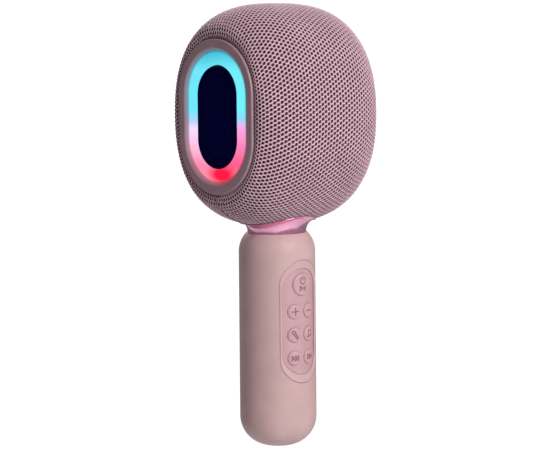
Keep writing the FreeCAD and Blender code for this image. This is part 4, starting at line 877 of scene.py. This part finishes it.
def diffuser_look():
    """Milky ring lit from behind."""
    look = Look("light_diffuser_look", (0.02, 0.02, 0.022), 0.4, specular=0.15)
    lit_by_ring(look)
    look.raise_by(look.noise(0.8 * MM), 0.01 * MM)
    return look


def bezel_look():
    """Moulded plastic with the ring's light painted on its inner slope as a glow, over a base colour darkened
    there.
    """
    # Where the painted glow lies, the base colour goes nearly black
    look = moulded("bezel_plastic_look", (0.40, 0.245, 0.28), 0.42, 0.2 * MM, 0.008 * MM,
                   over=("glow", (0.02, 0.015, 0.02)))
    lit_by_ring(look)
    return look


def board_look():
    """Green circuit board with a pattern of tracks."""
    look = Look("circuit_board_look", (0.02, 0.15, 0.06), 0.35, coat=0.4)
    tracks = look.add("TexBrick", Scale=1 / (6 * MM))
    look.join(look.place(), tracks.inputs["Vector"])
    colours = {"Color1": (0.02, 0.16, 0.06), "Color2": (0.03, 0.20, 0.08), "Mortar": (0.30, 0.38, 0.12)}
    for socket, colour in colours.items():
        tracks.inputs[socket].default_value = (*colour, 1)
    look.paint(tracks.outputs["Color"])
    look.raise_by(tracks.outputs["Fac"], 0.02 * MM)
    return look


def metal_look(name, colour, roughness, stretch=(1, 1, 12)):
    """Bare metal with a brushed grain, or a plain one without the stretch."""
    look = Look(name, colour, roughness, metallic=1.0)
    look.paint(look.vary(look.noise(4 * MM), 0.06))
    look.rough(look.noise(0.3 * MM, 4.0, stretch), roughness - 0.08, roughness + 0.1)
    look.raise_by(look.noise(0.2 * MM, 3.0, stretch), 0.01 * MM)
    return look


def wound_look(name, colour, pitch, metallic):
    """Turns of wire or a wound sleeve."""
    look = Look(name, colour, 0.35, metallic=metallic)
    look.paint(look.vary(look.bands(pitch), 0.15))
    look.raise_by(look.bands(pitch, 0.3), 0.05 * MM)
    return look


def foam_look():
    """Open foam."""
    look = Look("foam_look", (0.04, 0.04, 0.042), 0.95, specular=0.1)
    look.paint(look.vary(look.cells(0.9 * MM), 0.3))
    look.raise_by(look.cells(0.6 * MM), 0.25 * MM)
    return look


def paper_look():
    """Pressed paper of the cone."""
    look = Look("cone_paper_look", (0.055, 0.052, 0.05), 0.85, specular=0.2)
    look.paint(look.vary(look.noise(0.8 * MM, 5.0), 0.25))
    look.raise_by(look.noise(0.25 * MM, 5.0, (1, 3, 1)), 0.05 * MM)
    return look


def make_finishes():
    """One finish for each material slot of the record, and one more for the cloth behind the net."""
    looks = {
        "handle_soft_touch": moulded("handle_soft_touch_look", (0.60, 0.39, 0.388), 0.55, 0.22 * MM,
                                     0.012 * MM),
        "keypad_plastic": keypad_look(),
        "button_plastic": button_look(),
        "neck_plating": plating_look(),
        "mesh_fabric": fabric_look(),
        "lining_fabric_look": lining_look(),
        "bezel_plastic": bezel_look(),
        "light_diffuser": diffuser_look(),
        "radiator_rubber": moulded("radiator_rubber_look", (0.0005, 0.0008, 0.05), 0.8, 0.3 * MM, 0.01 * MM,
                                   specular=0.02),
        "radiator_plate": moulded("radiator_plate_look", (0.0005, 0.0008, 0.05), 0.75, 0.3 * MM, 0.006 * MM,
                                  specular=0.02),
        "black_plastic": moulded("black_plastic_look", (0.03, 0.03, 0.033), 0.5, 0.3 * MM, 0.02 * MM),
        "frame_plastic": moulded("frame_plastic_look", (0.10, 0.065, 0.08), 0.6, 0.35 * MM, 0.02 * MM),
        "circuit_board": board_look(),
        "steel": metal_look("steel_look", (0.62, 0.62, 0.64), 0.32),
        "battery_wrap": moulded("battery_wrap_look", (0.04, 0.17, 0.38), 0.3, 0.5 * MM, 0.015 * MM, coat=0.3),
        "magnet": metal_look("magnet_look", (0.16, 0.16, 0.17), 0.45, (1, 1, 1)),
        "cone_paper": paper_look(),
        "copper": wound_look("copper_look", (0.80, 0.36, 0.18), 0.3 * MM, 1.0),
        "foam": foam_look(),
        "wire_sleeve": wound_look("wire_sleeve_look", (0.035, 0.035, 0.035), 0.9 * MM, 0.0),
    }
    return {name: look.material for name, look in looks.items()}


def dress_nodes():
    """Each CAD node that stays in view gets the finish of its own slot."""
    for name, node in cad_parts.items():
        for place in node.material_slots:
            own = "radiator_rubber" if name.startswith("radiator_") else place.material.name.split(".")[0]
            place.material = finishes[own]


# ---------------------------------------------------------------- stage

def add_camera():
    """Camera beside the keypad and a little above it, rolled about the head's middle."""
    head = Vector((0, 0, skin.centre))
    level = math.cos(CAMERA_RISE)
    back = Vector((-math.sin(CAMERA_TURN) * level, -math.cos(CAMERA_TURN) * level, math.sin(CAMERA_RISE)))
    right = Vector((math.cos(CAMERA_TURN), -math.sin(CAMERA_TURN), 0))
    up = back.cross(right)
    aim = head + right * AIM_ASIDE - up * AIM_BELOW_HEAD
    data = bpy.data.cameras.new("camera")
    data.lens = CAMERA_LENS
    data.clip_start, data.clip_end = 0.01, 50
    camera = bpy.data.objects.new("camera", data)
    bpy.context.scene.collection.objects.link(camera)
    facing = Matrix((right, up, back)).transposed().to_4x4()
    rolled = Matrix.Rotation(CAMERA_ROLL, 4, back)
    from_head = Matrix.Translation(aim + back * CAMERA_DISTANCE - head)
    camera.matrix_world = Matrix.Translation(head) @ rolled @ from_head @ facing
    bpy.context.scene.camera = camera


def add_light(name, place, size, power):
    """A soft square light aimed at the neck, which the camera doesn't see."""
    data = bpy.data.lights.new(name, "AREA")
    data.shape, data.size, data.energy = "SQUARE", size, power
    light = bpy.data.objects.new(name, data)
    bpy.context.scene.collection.objects.link(light)
    light.location = place
    light.visible_camera = False
    aim = Vector((0, 0, skin.centre * LIGHT_AIM)) - Vector(place)
    light.rotation_mode = "QUATERNION"
    light.rotation_quaternion = aim.to_track_quat("-Z", "Y")


def add_floor():
    """Pale floor, well below the part."""
    corners = [(x * FLOOR_HALF, y * FLOOR_HALF, FLOOR_LEVEL) for x, y in ((-1, -1), (1, -1), (1, 1), (-1, 1))]
    mesh = bpy.data.meshes.new("floor")
    mesh.from_pydata(corners, [], [(0, 1, 2, 3)])
    floor = bpy.data.objects.new("floor", mesh)
    bpy.context.scene.collection.objects.link(floor)
    look = Look("floor_look", (0.95, 0.95, 0.95), 0.9, specular=0.1)
    look.paint(look.vary(look.noise(0.4), 0.01))
    mesh.materials.append(look.material)


def add_world():
    """White behind the object, and a dimmer even light from all round on it."""
    world = bpy.data.worlds.new("studio")
    world.use_nodes = True
    tree = world.node_tree
    sky = tree.nodes["Background"]
    backdrop = tree.nodes.new("ShaderNodeBackground")
    for node, colour, strength in ((sky, SKY_COLOUR, SKY_STRENGTH), (backdrop, (1, 1, 1), BACKDROP_STRENGTH)):
        node.inputs["Color"].default_value = (*colour, 1)
        node.inputs["Strength"].default_value = strength
    path = tree.nodes.new("ShaderNodeLightPath")
    mix = tree.nodes.new("ShaderNodeMixShader")
    tree.links.new(path.outputs["Is Camera Ray"], mix.inputs[0])
    tree.links.new(sky.outputs[0], mix.inputs[1])
    tree.links.new(backdrop.outputs[0], mix.inputs[2])
    tree.links.new(mix.outputs[0], tree.nodes["World Output"].inputs["Surface"])
    bpy.context.scene.world = world


# ---------------------------------------------------------------- the whole scene

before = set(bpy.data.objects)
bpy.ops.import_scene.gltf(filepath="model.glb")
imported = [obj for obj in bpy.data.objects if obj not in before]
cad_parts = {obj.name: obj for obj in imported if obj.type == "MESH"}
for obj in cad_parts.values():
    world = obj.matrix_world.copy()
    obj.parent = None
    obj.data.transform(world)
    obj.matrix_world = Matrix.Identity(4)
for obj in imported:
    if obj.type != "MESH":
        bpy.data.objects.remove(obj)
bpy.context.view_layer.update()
skin = HeadSkin()
finishes = make_finishes()
add_camera()

cell_centres, cell_places, net_pitch = net_cells()
front = cell_places[:, 1] < 0
fabric_front = fabric_half("fabric_front", cell_centres[front], net_pitch)
fabric_rear = fabric_half("fabric_rear", cell_centres[~front], net_pitch)
lining = fabric_lining()
# The CAD fabric cover is hidden; the net halves and the lining take its place
for fabric in (fabric_front, fabric_rear, lining):
    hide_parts("fabric_cover")
seams = [underside_seam("seam_" + name, sign) for name, sign in SIDES.items()]
for side_name, side_sign in SIDES.items():
    side_bezel(side_name, side_sign)
    light_ring(side_name, side_sign)
    radiator(side_name, side_sign)
neck_flare()
keypad_band()
for button_name in BUTTONS:
    button_cap(button_name)
    gap_floor(button_name)
dress_nodes()

add_light("key", (-0.10, -1.22, 0.70), 0.55, 16.4)
add_light("fill", (-0.9, -0.7, 0.35), 0.8, 0.2)
add_light("back", (0.3, 0.9, 0.7), 0.6, 6)
add_floor()
add_world()
bpy.context.scene.view_settings.view_transform = "Standard"
